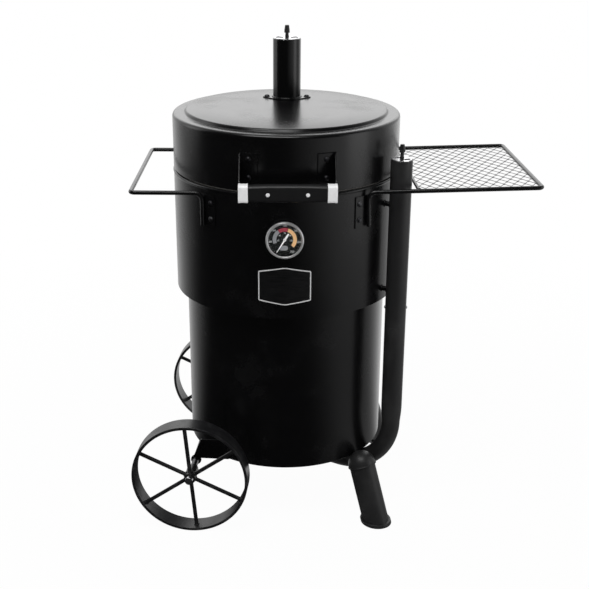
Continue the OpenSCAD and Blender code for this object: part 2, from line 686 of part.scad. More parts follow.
// Local +Z runs up the leg from its middle on the ground.
module on_leg(side) {
    on_undercarriage() rotate([0, 0, side * leg_spread]) translate([foot_reach, 0, 0])
        rotate([0, -lean, 0]) children();
}

module leg(side) {
    difference() {
        on_leg(side) translate([0, 0, -20]) difference() {
            cylinder(r = leg_r, h = leg_end + 20, $fn = 96);
            translate([0, 0, -1]) cylinder(r = leg_r - 2, h = leg_end + 22, $fn = 96);
        }
        translate([-600, -600, -100]) cube([1200, 1200, 100 + foot_floor]);
    }
}

module front_leg() color([0.08, 0.08, 0.09]) leg(-1);
module rear_leg() color([0.08, 0.08, 0.09]) leg(1);

// Domed caps on the legs, each with an arm that is welded under the drum floor.
module leg_sockets() color([0.08, 0.08, 0.09]) difference() {
    for (side = [-1, 1]) {
        on_leg(side) rotate_extrude($fn = 96) polygon(concat(
            [[0, socket_bottom], [socket_r + 1, socket_bottom], [socket_r + 1, socket_bottom + 2],
             [socket_r, socket_bottom + 3]],
            arc(0, dome_start, socket_r, 0, 90, 9)
        ));
        on_undercarriage() rotate([0, 0, side * leg_spread])
            translate([lower_r - 40, -14, floor_z - 12]) cube([58, 28, 13]);
    }
    for (side = [-1, 1]) on_leg(side) translate([0, 0, socket_bottom - 1])
        cylinder(r = leg_r + gap, h = leg_end - socket_bottom + 1.5, $fn = 96);
    on_drum() translate([0, 0, floor_z]) cylinder(r = lower_r + gap, h = 200, $fn = 180);
}

module feet() color([0.08, 0.08, 0.09]) difference() {
    for (side = [-1, 1]) on_leg(side) translate([0, 0, -20]) cylinder(r = foot_r, h = 60, $fn = 96);
    translate([-600, -600, -100]) cube([1200, 1200, 100]);
    translate([-600, -600, foot_top]) cube([1200, 1200, 100]);
    intersection() {
        for (side = [-1, 1]) on_leg(side) translate([0, 0, -20])
            cylinder(r = leg_r + gap, h = 80, $fn = 96);
        translate([-600, -600, foot_floor]) cube([1200, 1200, 100]);
    }
}

// ---- Axle and wheels: the local Y axis is the axle ----

axle_r = 8;
hub_r = 14;
hub_in = 250;                         // inner end of a hub
hub_out = wheel_out - 6;
spoke_y = wheel_out - 18;
spoke_r = 4.8;
band_t = 7;
plate_y = 200;                        // middle of an axle bracket
plate_t = 4;

module on_axle() { on_undercarriage() translate([-axle_reach, 0, wheel_r]) rotate([-90, 0, 0]) children(); }

module axle() color([0.3, 0.3, 0.32]) on_axle() {
    translate([0, 0, -cap_out + 6]) cylinder(r = axle_r, h = 2 * (cap_out - 6), $fn = 64);
    for (s = [-1, 1]) translate([0, 0, s * (hub_in - 3) - 2]) cylinder(r = hub_r - 1, h = 4, $fn = 48);
}

module axle_caps() color([0.6, 0.6, 0.6]) on_axle() both_caps() difference() {
    translate([0, 0, hub_out + 0.8]) cylinder(r = cap_r, h = cap_out - hub_out - 0.8, $fn = 48);
    translate([0, 0, hub_out]) cylinder(r = axle_r + gap, h = cap_out - 6 - hub_out + gap, $fn = 48);
}

module both_caps() { for (m = [0, 1]) mirror([0, 0, m]) children(); }

module axle_brackets() color([0.08, 0.08, 0.09]) difference() {
    on_undercarriage() both_ends() translate([0, -plate_y + plate_t / 2, 0]) rotate([90, 0, 0])
        linear_extrude(plate_t) union() {
            polygon([[-axle_reach - 8, 144], [-axle_reach + 13, 207], [-100, 207], [-100, 144]]);
            translate([-axle_reach, wheel_r]) circle(r = 13, $fn = 48);
        }
    on_drum() translate([0, 0, floor_z - gap]) cylinder(r = lower_r + gap, h = 200, $fn = 180);
    on_axle() translate([0, 0, -400]) cylinder(r = axle_r + gap, h = 800, $fn = 64);
}

// Wheel parts at the front end of the axle; the rear wheel is their mirror image.
module wheel_place(side) { on_axle() mirror([0, 0, side < 0 ? 1 : 0]) children(); }

module wheel_rim(side) wheel_place(side)
    translate([0, 0, wheel_out - band_w]) ring(wheel_r - band_t, wheel_r, band_w);

module wheel_spokes(side) wheel_place(side) difference() {
    union() {
        translate([0, 0, hub_in]) cylinder(r = hub_r, h = hub_out - hub_in, $fn = 64);
        for (i = [0:5]) rotate([0, 0, -90 - spoke_turn + 60 * i]) translate([0, 0, spoke_y])
            rotate([0, 90, 0]) cylinder(r = spoke_r, h = wheel_r - band_t + 1, $fn = 24);
    }
    translate([0, 0, hub_in - 1]) cylinder(r = axle_r + running, h = hub_out - hub_in + 2, $fn = 64);
}

module front_wheel_rim() color([0.12, 0.12, 0.13]) wheel_rim(-1);
module front_wheel_spokes() color([0.12, 0.12, 0.13]) wheel_spokes(-1);
module rear_wheel_rim() color([0.12, 0.12, 0.13]) wheel_rim(1);
module rear_wheel_spokes() color([0.12, 0.12, 0.13]) wheel_spokes(1);

// ---- Inside the drum ----

grate_r = 258;
bar_pitch = 20;
module cooking_grate() color([0.6, 0.6, 0.6]) on_drum() translate([0, 0, grate_z]) linear_extrude(5) {
    difference() {
        circle(r = grate_r, $fn = 120);
        circle(r = grate_r - 6, $fn = 120);
    }
    for (i = [-12:12]) let (half = sqrt(pow(grate_r - 3, 2) - pow(i * bar_pitch, 2)))
        translate([-half, i * bar_pitch - 2]) square([2 * half, 4]);
    for (x = [-120, 120]) let (half = sqrt(pow(grate_r - 3, 2) - x * x))
        translate([x - 3, -half]) square([6, 2 * half]);
}

module grate_brackets() color([0.1, 0.1, 0.1]) on_drum() for (a = [45:90:315]) {
    sector(drum_r - 32, drum_r - wall - gap, grate_z - 3, grate_z, a - 3, a + 3);
    sector(drum_r - wall - 3, drum_r - wall - gap, grate_z - 18, grate_z - 2.9, a - 3, a + 3);
}

module heat_deflector() color([0.3, 0.3, 0.3]) on_drum() translate([0, 0, ledge_z + 3])
    linear_extrude(2) difference() {
        circle(r = 256, $fn = 120);
        for (a = [0:30:330]) rotate([0, 0, a]) translate([214, 0]) circle(r = 22, $fn = 48);
    }

hanger_ys = [-85, 0, 85];
hanger_r = 4;
module hanger_bars() color([0.7, 0.7, 0.7]) on_drum() for (y = hanger_ys)
    let (half = sqrt(pow(drum_r - wall, 2) - y * y) - 5)
        rod([-half, y, hanger_z], [half, y, hanger_z], hanger_r);

module hanger_brackets() color([0.1, 0.1, 0.1]) on_drum() intersection() {
    difference() {
        both_sides() for (y = hanger_ys) let (out = sqrt(pow(drum_r - wall, 2) - y * y))
            translate([out - 16, y - 8, hanger_z - 14]) cube([30, 16, 20]);
        for (y = hanger_ys) {
            rod([-300, y, hanger_z], [300, y, hanger_z], hanger_r + gap);
            translate([-300, y - hanger_r - gap, hanger_z]) cube([600, 2 * (hanger_r + gap), 20]);
        }
    }
    cylinder(r = drum_r - wall - gap, h = 900, $fn = 180);
}

// ---- Fire ----

pan_r = 195;
pan_floor = floor_z + wall + 1.5;
lug_z = basket_top - 15;
bail_r = 176;
bail_droop = 10;
bail_eye = [174, 180];

module ash_pan() color([0.25, 0.25, 0.25]) on_drum() rotate_extrude($fn = 120) polygon([
    [0, floor_z + wall], [pan_r - 8, floor_z + wall], [pan_r, floor_z + 20], [pan_r - 1.5, floor_z + 20],
    [pan_r - 9, pan_floor], [0, pan_floor]
]);

basket_hole_z = [232, 272];
module basket_feet() color([0.3, 0.3, 0.3]) on_drum() for (a = [30:120:270]) rotate([0, 0, a])
    translate([basket_r - 8, 0, pan_floor]) cylinder(r = 5, h = basket_z - pan_floor, $fn = 32);

module charcoal_basket() color([0.3, 0.3, 0.3]) on_drum() {
    difference() {
        rotate_extrude($fn = 120) union() {
            translate([basket_r - 2, basket_z]) square([2, basket_top - basket_z]);
            translate([basket_r - 14, basket_z]) square([13, 2]);
            translate([basket_r - 1, basket_top]) circle(r = 3.5, $fn = 32);
        }
        for (a = [15:30:345], z = basket_hole_z) on_wall(a, basket_r - 10, z)
            cylinder(r = 9, h = 20, $fn = 32);
    }
    both_sides() translate([basket_r - 1.5, 0, lug_z]) rotate([0, 90, 0]) {
        cylinder(r = pin_r, h = bail_eye[1] - basket_r + 4, $fn = 32);
        translate([0, 0, bail_eye[1] - basket_r + 2.5]) cylinder(r = 7, h = 3, $fn = 32);
    }
}

module charcoal_grate() color([0.3, 0.3, 0.3]) on_drum() translate([0, 0, basket_z + 2])
    linear_extrude(4) {
        difference() {
            circle(r = basket_r - 3, $fn = 96);
            circle(r = basket_r - 10, $fn = 96);
        }
        for (i = [-7:7]) let (half = sqrt(pow(basket_r - 6, 2) - pow(i * 20, 2)))
            translate([-half, i * 20 - 3]) square([2 * half, 6]);
    }

module basket_bail() color([0.4, 0.4, 0.4]) on_drum() translate([0, 0, lug_z])
    rotate([bail_droop, 0, 0]) difference() {
        union() {
            rotate([0, 0, 182.4]) rotate_extrude(angle = 175.2, $fn = 120)
                translate([bail_r, 0]) circle(r = 3.5, $fn = 24);
            both_sides() translate([bail_eye[0], 0, 0]) rotate([0, 90, 0])
                cylinder(r = 9, h = bail_eye[1] - bail_eye[0], $fn = 32);
        }
        translate([-200, 0, 0]) rotate([0, 90, 0]) cylinder(r = pin_r + running, h = 400, $fn = 32);
    }

upper_drum();
lower_drum();
step_ring();
rim_gasket();
name_plate();
gauge_case();
gauge_bezel();
gauge_dial();
gauge_lens();
gauge_stem();
gauge_needle();
intake_pipe();
intake_lower();
intake_elbow();
pipe_standoffs();
pipe_screws();
intake_cap();
intake_damper_plate();
intake_knob();
left_handle();
shelf_frame();
shelf_mesh();
rod_brackets();
drum_bolts();
leg_sockets();
front_leg();
rear_leg();
feet();
axle();
axle_brackets();
axle_caps();
front_wheel_rim();
front_wheel_spokes();
rear_wheel_rim();
rear_wheel_spokes();
hinge_drum_leaf();
hinge_lid_leaf();
hinge_pin();
lid_shell();
lid_bolts();
handle_brackets();
handle_grip();
handle_ferrules();
handle_screws();
stack_tube();
stack_flange();
stack_cap();
stack_damper_plate();
stack_knob();
cooking_grate();
grate_brackets();
heat_deflector();
hanger_bars();
hanger_brackets();
charcoal_basket();
basket_feet();
charcoal_grate();
basket_bail();
ash_pan();
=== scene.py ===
import json
import math

import bmesh
import bpy
from mathutils import Matrix, Vector


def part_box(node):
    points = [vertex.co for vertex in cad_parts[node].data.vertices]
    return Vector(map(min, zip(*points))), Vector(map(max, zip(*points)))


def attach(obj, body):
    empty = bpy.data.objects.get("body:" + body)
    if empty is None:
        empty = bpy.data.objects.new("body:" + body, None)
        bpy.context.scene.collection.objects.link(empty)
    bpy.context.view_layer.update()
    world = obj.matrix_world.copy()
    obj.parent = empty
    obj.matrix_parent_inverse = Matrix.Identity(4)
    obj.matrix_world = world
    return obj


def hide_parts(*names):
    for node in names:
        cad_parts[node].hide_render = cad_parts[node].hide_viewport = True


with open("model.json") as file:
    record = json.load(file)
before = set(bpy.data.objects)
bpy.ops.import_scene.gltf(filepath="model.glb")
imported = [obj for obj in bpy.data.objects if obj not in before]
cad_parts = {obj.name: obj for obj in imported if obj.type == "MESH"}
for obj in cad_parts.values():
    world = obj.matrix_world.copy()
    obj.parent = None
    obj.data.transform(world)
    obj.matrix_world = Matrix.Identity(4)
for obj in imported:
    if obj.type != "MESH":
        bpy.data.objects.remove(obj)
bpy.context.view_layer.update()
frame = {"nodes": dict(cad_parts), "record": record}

mm = 0.001
turn = 2 * math.pi
scene = bpy.context.scene


# Places come from the frame; those below are in millimetres from the drum axis.
def middle(node):
    low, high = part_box(node)
    return (low + high) / 2


def span(node):
    low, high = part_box(node)
    return (high - low) / mm


drumAxis = middle("lower_drum")
drumAxis.z = 0.0
toFrame = Matrix.Translation(drumAxis) @ Matrix.Diagonal((mm, mm, mm, 1))


def fromAxis(node):
    return (middle(node) - drumAxis) / mm


def lowOf(node):
    return (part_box(node)[0] - drumAxis) / mm


def highOf(node):
    return (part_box(node)[1] - drumAxis) / mm


def bearing(point):
    return math.atan2(point.y, point.x)


def turnedBy(degrees, axis="Z"):
    return Matrix.Rotation(math.radians(degrees), 4, axis)


def shifted(x, y, z):
    return Matrix.Translation((x, y, z))


# The camera stands at fromAxis, in metres, tilted by pitch, roll and yaw in degrees.
camera = {
    "lens": 68.35,
    "fromAxis": (0.02528, -2.62648, 1.51076),
    "pitch": 67.997,
    "roll": 0.3776,
    "yaw": 0.0376,
    "shift": (-0.00085, 0.03855),
}


def makeCamera():
    data = bpy.data.cameras.new("camera")
    data.lens = camera["lens"]
    data.sensor_width = 36.0
    data.shift_x, data.shift_y = camera["shift"]
    data.clip_end = 60.0
    made = bpy.data.objects.new("camera", data)
    scene.collection.objects.link(made)
    made.matrix_world = (Matrix.Translation(drumAxis + Vector(camera["fromAxis"]))
                         @ turnedBy(camera["yaw"]) @ turnedBy(camera["pitch"], "X")
                         @ turnedBy(camera["roll"]))
    scene.camera = made


lamps = {
    "backTop": {"at": (0.0, 3.1, 2.3), "size": (4.2, 1.9), "power": 25.0},
    "rightSoft": {"at": (3.0, -0.9, 1.3), "size": (1.5, 2.4), "power": 13.0},
    "leftSoft": {"at": (-3.0, 0.6, 1.5), "size": (1.2, 2.4), "power": 10.0},
    "frontTop": {"at": (-0.6, -1.5, 3.6), "size": (2.2, 1.4), "power": 48.0},
}
aimedAt = Vector((0, 0, 0.62))                # every lamp looks at the middle of the drum


def makeLamps():
    for name, values in lamps.items():
        data = bpy.data.lights.new(name, "AREA")
        data.shape = "RECTANGLE"
        data.size, data.size_y = values["size"]
        data.energy = values["power"]
        made = bpy.data.objects.new(name, data)
        scene.collection.objects.link(made)
        made.location = values["at"]
        made.rotation_euler = (aimedAt - made.location).to_track_quat("-Z", "Y").to_euler()
        made.visible_camera = False


class Wire:                                   # one socket of a shader tree, with arithmetic
    def __init__(self, tree, socket=None):
        self.tree, self.socket = tree, socket

    # Adds one node: its settings first, then the values or links of its sockets.
    def node(self, kind, settings=None, sockets=None, output=0):
        made = self.tree.nodes.new("ShaderNode" + kind)
        for key, value in (settings or {}).items():
            if key == "stops":
                ramp = made.color_ramp
                while len(ramp.elements) < len(value):
                    ramp.elements.new(1.0)
                for element, (place, colour) in zip(ramp.elements, value):
                    element.position, element.color = place, colour
            else:
                setattr(made, key, value)
        for key, value in (sockets or {}).items():
            if isinstance(value, Wire):
                self.tree.links.new(value.socket, made.inputs[key])
            else:
                made.inputs[key].default_value = value
        return Wire(self.tree, made.outputs[output] if made.outputs else None)

    def maths(self, operation, first, second=0.0, clamp=False):
        return self.node("Math", {"operation": operation, "use_clamp": clamp}, {0: first, 1: second})

    def __add__(self, other):
        return self.maths("ADD", self, other)

    __radd__ = __add__

    def __mul__(self, other):
        return self.maths("MULTIPLY", self, other)

    __rmul__ = __mul__

    def __sub__(self, other):
        return self.maths("SUBTRACT", self, other)

    def __rsub__(self, other):
        return self.maths("SUBTRACT", other, self)

    def clamped(self):
        return self.maths("ADD", self, 0.0, clamp=True)

    # Turns a value into 0 to 1 between two levels, smoothly.
    def between(self, low, high):
        return self.node("MapRange", {"interpolation_type": "SMOOTHSTEP"},
                         {"Value": self, "From Min": low, "From Max": high})


# Goes from one colour to another as the share goes from 0 to 1.
def mixed(wire, first, second, share):
    return wire.node("Mix", {"data_type": "RGBA"}, {0: share, 6: first, 7: second}, output=2)


def grey(value):
    return (value, value, value, 1.0)


# The world as reflections and as other light see it; the floor's look; its glow as reflections see it.
studio = {"sky": 0.98, "room": 0.02, "fill": 0.45,
          "floorSize": 24.0, "floorShow": 0.97, "floorColour": 0.86,
          "back": 1.0, "backRight": 0.35, "front": 0.015, "side": 0.24, "sideFar": 0.36}


def makeWorld():
    world = bpy.data.worlds.new("studio")
    scene.world = world
    world.use_nodes = True
    tree = world.node_tree
    tree.nodes.clear()
    start = Wire(tree)
    ray = {name: start.node("LightPath", output=name) for name in
           ("Is Camera Ray", "Is Glossy Ray", "Is Transmission Ray")}
    shown = (ray["Is Camera Ray"] + ray["Is Transmission Ray"]).clamped()
    direction = start.node("NewGeometry", output="Position")
    rearward = start.node("SeparateXYZ", sockets={0: direction}, output="Y")
    # Reflections see the pale backdrop behind the object and a dim room in front of it.
    backdrop = rearward.between(-0.15, 0.85) * studio["sky"] + studio["room"]
    seen = ray["Is Glossy Ray"] * backdrop + (1 - ray["Is Glossy Ray"]) * studio["fill"]
    strength = shown + (1 - shown) * seen
    background = start.node("Background", sockets={"Color": grey(1.0), "Strength": strength})
    out = tree.nodes.new("ShaderNodeOutputWorld")
    tree.links.new(background.socket, out.inputs["Surface"])


# The floor's glow as reflections see it: pale behind the object, a soft patch at its right, dim in front.
def floorGlow(start, coords):
    about = start.node("VectorMath", {"operation": "SUBTRACT"}, {0: coords, 1: drumAxis})
    far = start.node("VectorMath", {"operation": "LENGTH"}, {0: about}, output="Value").between(0.8, 4.0)
    facing = start.node("VectorMath", {"operation": "NORMALIZE"}, {0: about})
    right = start.node("SeparateXYZ", sockets={0: facing}, output="X")
    behind = start.node("SeparateXYZ", sockets={0: facing}, output="Y")
    back = behind.between(0.0, 1.0) * (right.between(0.0, 0.5) * studio["backRight"] + studio["back"])
    patch = (behind + far * 0.2).between(-0.95, -0.45) * (1 - behind.between(0.0, 0.4))
    patch = patch * right.between(0.0, 0.3)
    return back + patch * (far * studio["sideFar"] + studio["side"]) + studio["front"]


def makeFloor():
    bm = bmesh.new()
    bmesh.ops.create_grid(bm, x_segments=1, y_segments=1, size=studio["floorSize"] / 2)
    mesh = bpy.data.meshes.new("studioFloor")
    bm.to_mesh(mesh)
    bm.free()
    floor = bpy.data.objects.new("studioFloor", mesh)
    scene.collection.objects.link(floor)
    material = bpy.data.materials.new("studioFloor")
    material.use_nodes = True
    tree = material.node_tree
    tree.nodes.clear()
    start = Wire(tree)
    shown = (start.node("LightPath", output="Is Camera Ray")
             + start.node("LightPath", output="Is Transmission Ray")).clamped()
    glossy = start.node("LightPath", output="Is Glossy Ray")
    coords = start.node("TexCoord", output="Object")
    away = start.node("VectorMath", {"operation": "LENGTH"}, {0: coords}, output="Value")
    whitening = away.between(0.7, 2.2) * (1 - studio["floorShow"]) + studio["floorShow"]
    plain = start.node("BsdfDiffuse", sockets={"Color": grey(studio["floorColour"])})
    strength = shown + glossy * floorGlow(start, coords)
    glow = start.node("Emission", sockets={"Color": grey(1.0), "Strength": strength})
    share = (shown * whitening + glossy).clamped()
    surface = start.node("MixShader", sockets={0: share, 1: plain, 2: glow})
    out = tree.nodes.new("ShaderNodeOutputMaterial")
    tree.links.new(surface.socket, out.inputs["Surface"])
    mesh.materials.append(material)


scene.view_settings.view_transform = "Standard"
makeCamera()
makeLamps()
makeWorld()
makeFloor()
print("stage: camera, lamps, world and floor")


finishes = {}                                 # every finish by its name


def finish(name, build, **fixed):
    material = bpy.data.materials.new(name)
    material.use_nodes = True
    tree = material.node_tree
    tree.nodes.clear()
    start = Wire(tree)
    coords = start.node("TexCoord", output="Object")
    sockets = build(start, coords)
    sockets.update(fixed)
    surface = start.node("BsdfPrincipled", sockets=sockets)
    out = tree.nodes.new("ShaderNodeOutputMaterial")
    tree.links.new(surface.socket, out.inputs["Surface"])
    finishes[name] = material


def noise(start, coords, scale, detail=3.0, roughness=0.5, stretch=None):
    if stretch:
        coords = start.node("Mapping", sockets={"Vector": coords, "Scale": stretch})
    return start.node("TexNoise", sockets={"Vector": coords, "Scale": scale, "Detail": detail,
                                           "Roughness": roughness})


def bumped(start, height, distance, strength=1.0, under=None):
    sockets = {"Strength": strength, "Distance": distance, "Height": height}
    if under:
        sockets["Normal"] = under
    return start.node("Bump", sockets=sockets)


def hue(red, green, blue):
    return (red, green, blue, 1.0)


paintLook = {"colour": hue(0.0022, 0.0022, 0.0025), "dusty": hue(0.012, 0.012, 0.0125),
             "roughness": 0.23, "peel": 620.0, "peelDepth": 0.00004, "waveDepth": 0.0005}


# Black powder coat: fine peel, broad waviness of rolled sheet and faint handling marks.
def blackPaint(start, coords):
    marks = noise(start, coords, 9.0, 5.0, 0.62).between(0.48, 0.78)
    peel = noise(start, coords, paintLook["peel"], 2.0)
    speck = noise(start, coords, 260.0, 4.0, 0.6).between(0.60, 0.80)
    wave = noise(start, coords, 7.0, 1.0, stretch=(1.0, 1.0, 0.35))
    normal = bumped(start, wave, paintLook["waveDepth"], 0.25)
    normal = bumped(start, peel, paintLook["peelDepth"], 0.35, normal)
    return {"Base Color": mixed(start, paintLook["colour"], paintLook["dusty"], marks * 0.35 + speck * 0.2),
            "Roughness": marks * 0.07 + peel * 0.03 + paintLook["roughness"], "Normal": normal}


finish("blackPaint", blackPaint, **{"IOR": 1.5})


# The wheels' thinner, more satin coat, rubbed on the tread and a little dusty.
def wheelPaint(start, coords):
    rub = noise(start, coords, 34.0, 6.0, 0.68).between(0.46, 0.74)
    grain = noise(start, coords, 850.0, 3.0, 0.6)
    return {"Base Color": mixed(start, hue(0.009, 0.009, 0.010), hue(0.030, 0.030, 0.031), rub),
            "Roughness": rub * 0.12 + grain * 0.06 + 0.30,
            "Normal": bumped(start, grain, 0.00005, 0.4)}


finish("wheelPaint", wheelPaint)


# Satin black coat of the air pipe and the legs, with fine peel and handling marks.
def tubePaint(start, coords):
    marks = noise(start, coords, 16.0, 5.0, 0.62).between(0.44, 0.76)
    peel = noise(start, coords, 700.0, 2.0)
    speck = noise(start, coords, 300.0, 4.0, 0.6).between(0.60, 0.80)
    return {"Base Color": mixed(start, hue(0.0165, 0.0165, 0.0170), hue(0.032, 0.032, 0.0325),
                                marks * 0.6 + speck * 0.3),
            "Roughness": marks * 0.08 + peel * 0.05 + 0.38, "Normal": bumped(start, peel, 0.00005, 0.4)}


finish("tubePaint", tubePaint, **{"IOR": 1.5})


# Steel with a dark oxide finish.
def darkSteel(start, coords):
    cloud = noise(start, coords, 60.0, 5.0, 0.6)
    grain = noise(start, coords, 900.0, 3.0)
    return {"Base Color": mixed(start, hue(0.05, 0.05, 0.055), hue(0.13, 0.13, 0.135),
                                cloud.between(0.4, 0.7)),
            "Roughness": cloud * 0.2 + 0.28, "Normal": bumped(start, grain, 0.00004, 0.4)}


finish("darkSteel", darkSteel, Metallic=1.0)


# Bright zinc plate with a faint spangle and dull patches.
def zinc(start, coords):
    spangle = start.node("TexVoronoi", {"feature": "F1"}, {"Vector": coords, "Scale": 420.0}, output="Color")
    level = start.node("SeparateColor", sockets={0: spangle}, output="Red")
    dull = noise(start, coords, 90.0, 5.0, 0.6).between(0.45, 0.72)
    return {"Base Color": mixed(start, hue(0.62, 0.62, 0.64), hue(0.42, 0.42, 0.43),
                                level * 0.3 + dull * 0.6),
            "Roughness": level * 0.07 + dull * 0.16 + 0.22,
            "Normal": bumped(start, noise(start, coords, 1100.0), 0.00003, 0.3)}


finish("zinc", zinc, Metallic=1.0)


# Bright stainless steel, brushed along X.
def brightSteel(start, coords):
    brush = noise(start, coords, 220.0, 4.0, 0.6, stretch=(0.10, 2.4, 2.4))
    smear = noise(start, coords, 40.0, 4.0).between(0.45, 0.75)
    return {"Base Color": mixed(start, hue(0.80, 0.80, 0.80), hue(0.64, 0.64, 0.65),
                                brush * 0.6 + smear * 0.3),
            "Roughness": brush * 0.12 + smear * 0.08 + 0.20,
            "Normal": bumped(start, brush, 0.00004, 0.35)}


finish("brightSteel", brightSteel, Metallic=1.0)


# Silver-coloured end caps and screws of the grip, satin and a little smeared; the bezel is more metallic.
def satinSilver(start, coords):
    smear = noise(start, coords, 60.0, 4.0).between(0.42, 0.75)
    grain = noise(start, coords, 900.0, 3.0)
    return {"Base Color": mixed(start, hue(0.97, 0.97, 0.97), hue(0.90, 0.90, 0.91), smear),
            "Roughness": smear * 0.1 + grain * 0.05 + 0.36, "Normal": bumped(start, grain, 0.00004, 0.35)}


finish("satinSilver", satinSilver, Metallic=0.05)
finish("bezelSteel", satinSilver, Metallic=0.78)


# Grey fibre gasket under the lid.
def gasketFelt(start, coords):
    fibre = noise(start, coords, 1500.0, 6.0, 0.75, stretch=(1.0, 1.0, 0.3))
    tuft = noise(start, coords, 300.0, 4.0, 0.7)
    return {"Base Color": mixed(start, hue(0.10, 0.095, 0.09), hue(0.36, 0.35, 0.33),
                                fibre.between(0.35, 0.7)),
            "Roughness": fibre * 0.1 + 0.86,
            "Normal": bumped(start, fibre, 0.0004, 0.8, bumped(start, tuft, 0.0008, 0.6))}


finish("gasketFelt", gasketFelt)


# The plate's dark field is finely brushed along X.
def plateDark(start, coords):
    brush = noise(start, coords, 260.0, 4.0, 0.6, stretch=(0.08, 1.0, 3.0))
    return {"Base Color": mixed(start, hue(0.005, 0.005, 0.0055), hue(0.016, 0.016, 0.017),
                                brush.between(0.35, 0.7)),
            "Roughness": brush * 0.15 + 0.25, "Normal": bumped(start, brush, 0.00005, 0.4)}


finish("plateDark", plateDark, Metallic=0.3)


# The plate's raised edge, where the coat has been polished off.
def plateEdge(start, coords):
    brush = noise(start, coords, 300.0, 4.0, 0.6, stretch=(0.2, 1.0, 1.0))
    return {"Base Color": mixed(start, hue(0.86, 0.86, 0.86), hue(0.70, 0.70, 0.71),
                                brush.between(0.35, 0.7)),
            "Roughness": brush * 0.15 + 0.34, "Normal": bumped(start, brush, 0.00004, 0.4)}


finish("plateEdge", plateEdge, Metallic=0.2)


# Matt black print with a very fine grain.
def dialBlack(start, coords):
    grain = noise(start, coords, 2400.0, 3.0, 0.6)
    return {"Base Color": mixed(start, hue(0.006, 0.007, 0.007), hue(0.020, 0.022, 0.022),
                                grain.between(0.4, 0.7)),
            "Roughness": grain * 0.1 + 0.42, "Normal": bumped(start, grain, 0.00002, 0.3)}


finish("dialBlack", dialBlack, **{"Specular IOR Level": 0.04})


# One print ink of the dial, a little uneven at its own scale.
def ink(name, light, dark):
    def build(start, coords):
        patch = noise(start, coords, 1300.0, 3.0, 0.6)
        return {"Base Color": mixed(start, light, dark, patch.between(0.4, 0.75)),
                "Roughness": patch * 0.1 + 0.38, "Normal": bumped(start, patch, 0.00002, 0.3)}
    finish(name, build, **{"Specular IOR Level": 0.1})


ink("dialWhite", hue(0.90, 0.92, 0.92), hue(0.74, 0.76, 0.76))
ink("dialRed", hue(0.46, 0.055, 0.085), hue(0.30, 0.035, 0.055))
ink("dialGrey", hue(0.30, 0.31, 0.32), hue(0.20, 0.21, 0.22))
ink("dialCream", hue(0.92, 0.60, 0.30), hue(0.76, 0.42, 0.18))
ink("needleWhite", hue(0.97, 0.97, 0.97), hue(0.86, 0.86, 0.86))


# The thermometer's clear window, with a thin film of grease.
def glass(start, coords):
    film = noise(start, coords, 55.0, 5.0, 0.65)
    return {"Base Color": grey(1.0), "Roughness": film.between(0.5, 0.8) * 0.05 + 0.01}


finish("dialGlass", glass, **{"Transmission Weight": 1.0, "IOR": 1.15})


# Moulded black phenolic with flow marks.
def knobBlack(start, coords):
    flow = noise(start, coords, 120.0, 5.0, 0.6, stretch=(1.0, 1.0, 0.4))
    return {"Base Color": mixed(start, hue(0.010, 0.010, 0.010), hue(0.026, 0.026, 0.027),
                                flow.between(0.4, 0.7)),
            "Roughness": flow * 0.14 + 0.30, "Normal": bumped(start, flow, 0.00006, 0.4)}


finish("knobBlack", knobBlack)


# The grip's moulded satin plastic: fine spark texture and a touch of polish from hands.
def gripBlack(start, coords):
    spark = noise(start, coords, 1400.0, 3.0, 0.7)
    polish = noise(start, coords, 26.0, 4.0, 0.6).between(0.42, 0.72)
    return {"Base Color": mixed(start, hue(0.006, 0.006, 0.0065), hue(0.014, 0.014, 0.015),
                                spark.between(0.3, 0.8)),
            "Roughness": spark * 0.08 - polish * 0.08 + 0.38,
            "Normal": bumped(start, spark, 0.00008, 0.5)}


finish("gripBlack", gripBlack)


# Nickel-plated grate rods with brown heat tints.
def grateSteel(start, coords):
    tint = noise(start, coords, 22.0, 5.0, 0.65).between(0.46, 0.78)
    fine = noise(start, coords, 700.0, 3.0)
    return {"Base Color": mixed(start, hue(0.58, 0.57, 0.55), hue(0.34, 0.27, 0.20), tint * 0.7),
            "Roughness": tint * 0.22 + fine * 0.06 + 0.24, "Normal": bumped(start, fine, 0.00004, 0.4)}


finish("grateSteel", grateSteel, Metallic=1.0)


# Bare steel that has been hot: blue-grey scale, ash and rust freckles.
def hotIron(start, coords):
    scale = noise(start, coords, 28.0, 6.0, 0.66)
    ash = noise(start, coords, 75.0, 6.0, 0.7).between(0.52, 0.72)
    rust = noise(start, coords, 160.0, 5.0, 0.7).between(0.62, 0.76)
    skin = mixed(start, hue(0.075, 0.075, 0.082), hue(0.16, 0.155, 0.15), scale.between(0.35, 0.7))
    skin = mixed(start, skin, hue(0.30, 0.29, 0.275), ash * 0.5)
    return {"Base Color": mixed(start, skin, hue(0.17, 0.065, 0.025), rust * 0.7),
            "Roughness": ash * 0.2 + rust * 0.15 + 0.48, "Metallic": (1 - rust) * (1 - ash * 0.7) * 0.8,
            "Normal": bumped(start, noise(start, coords, 420.0, 6.0, 0.7), 0.0002, 0.6)}


finish("hotIron", hotIron)

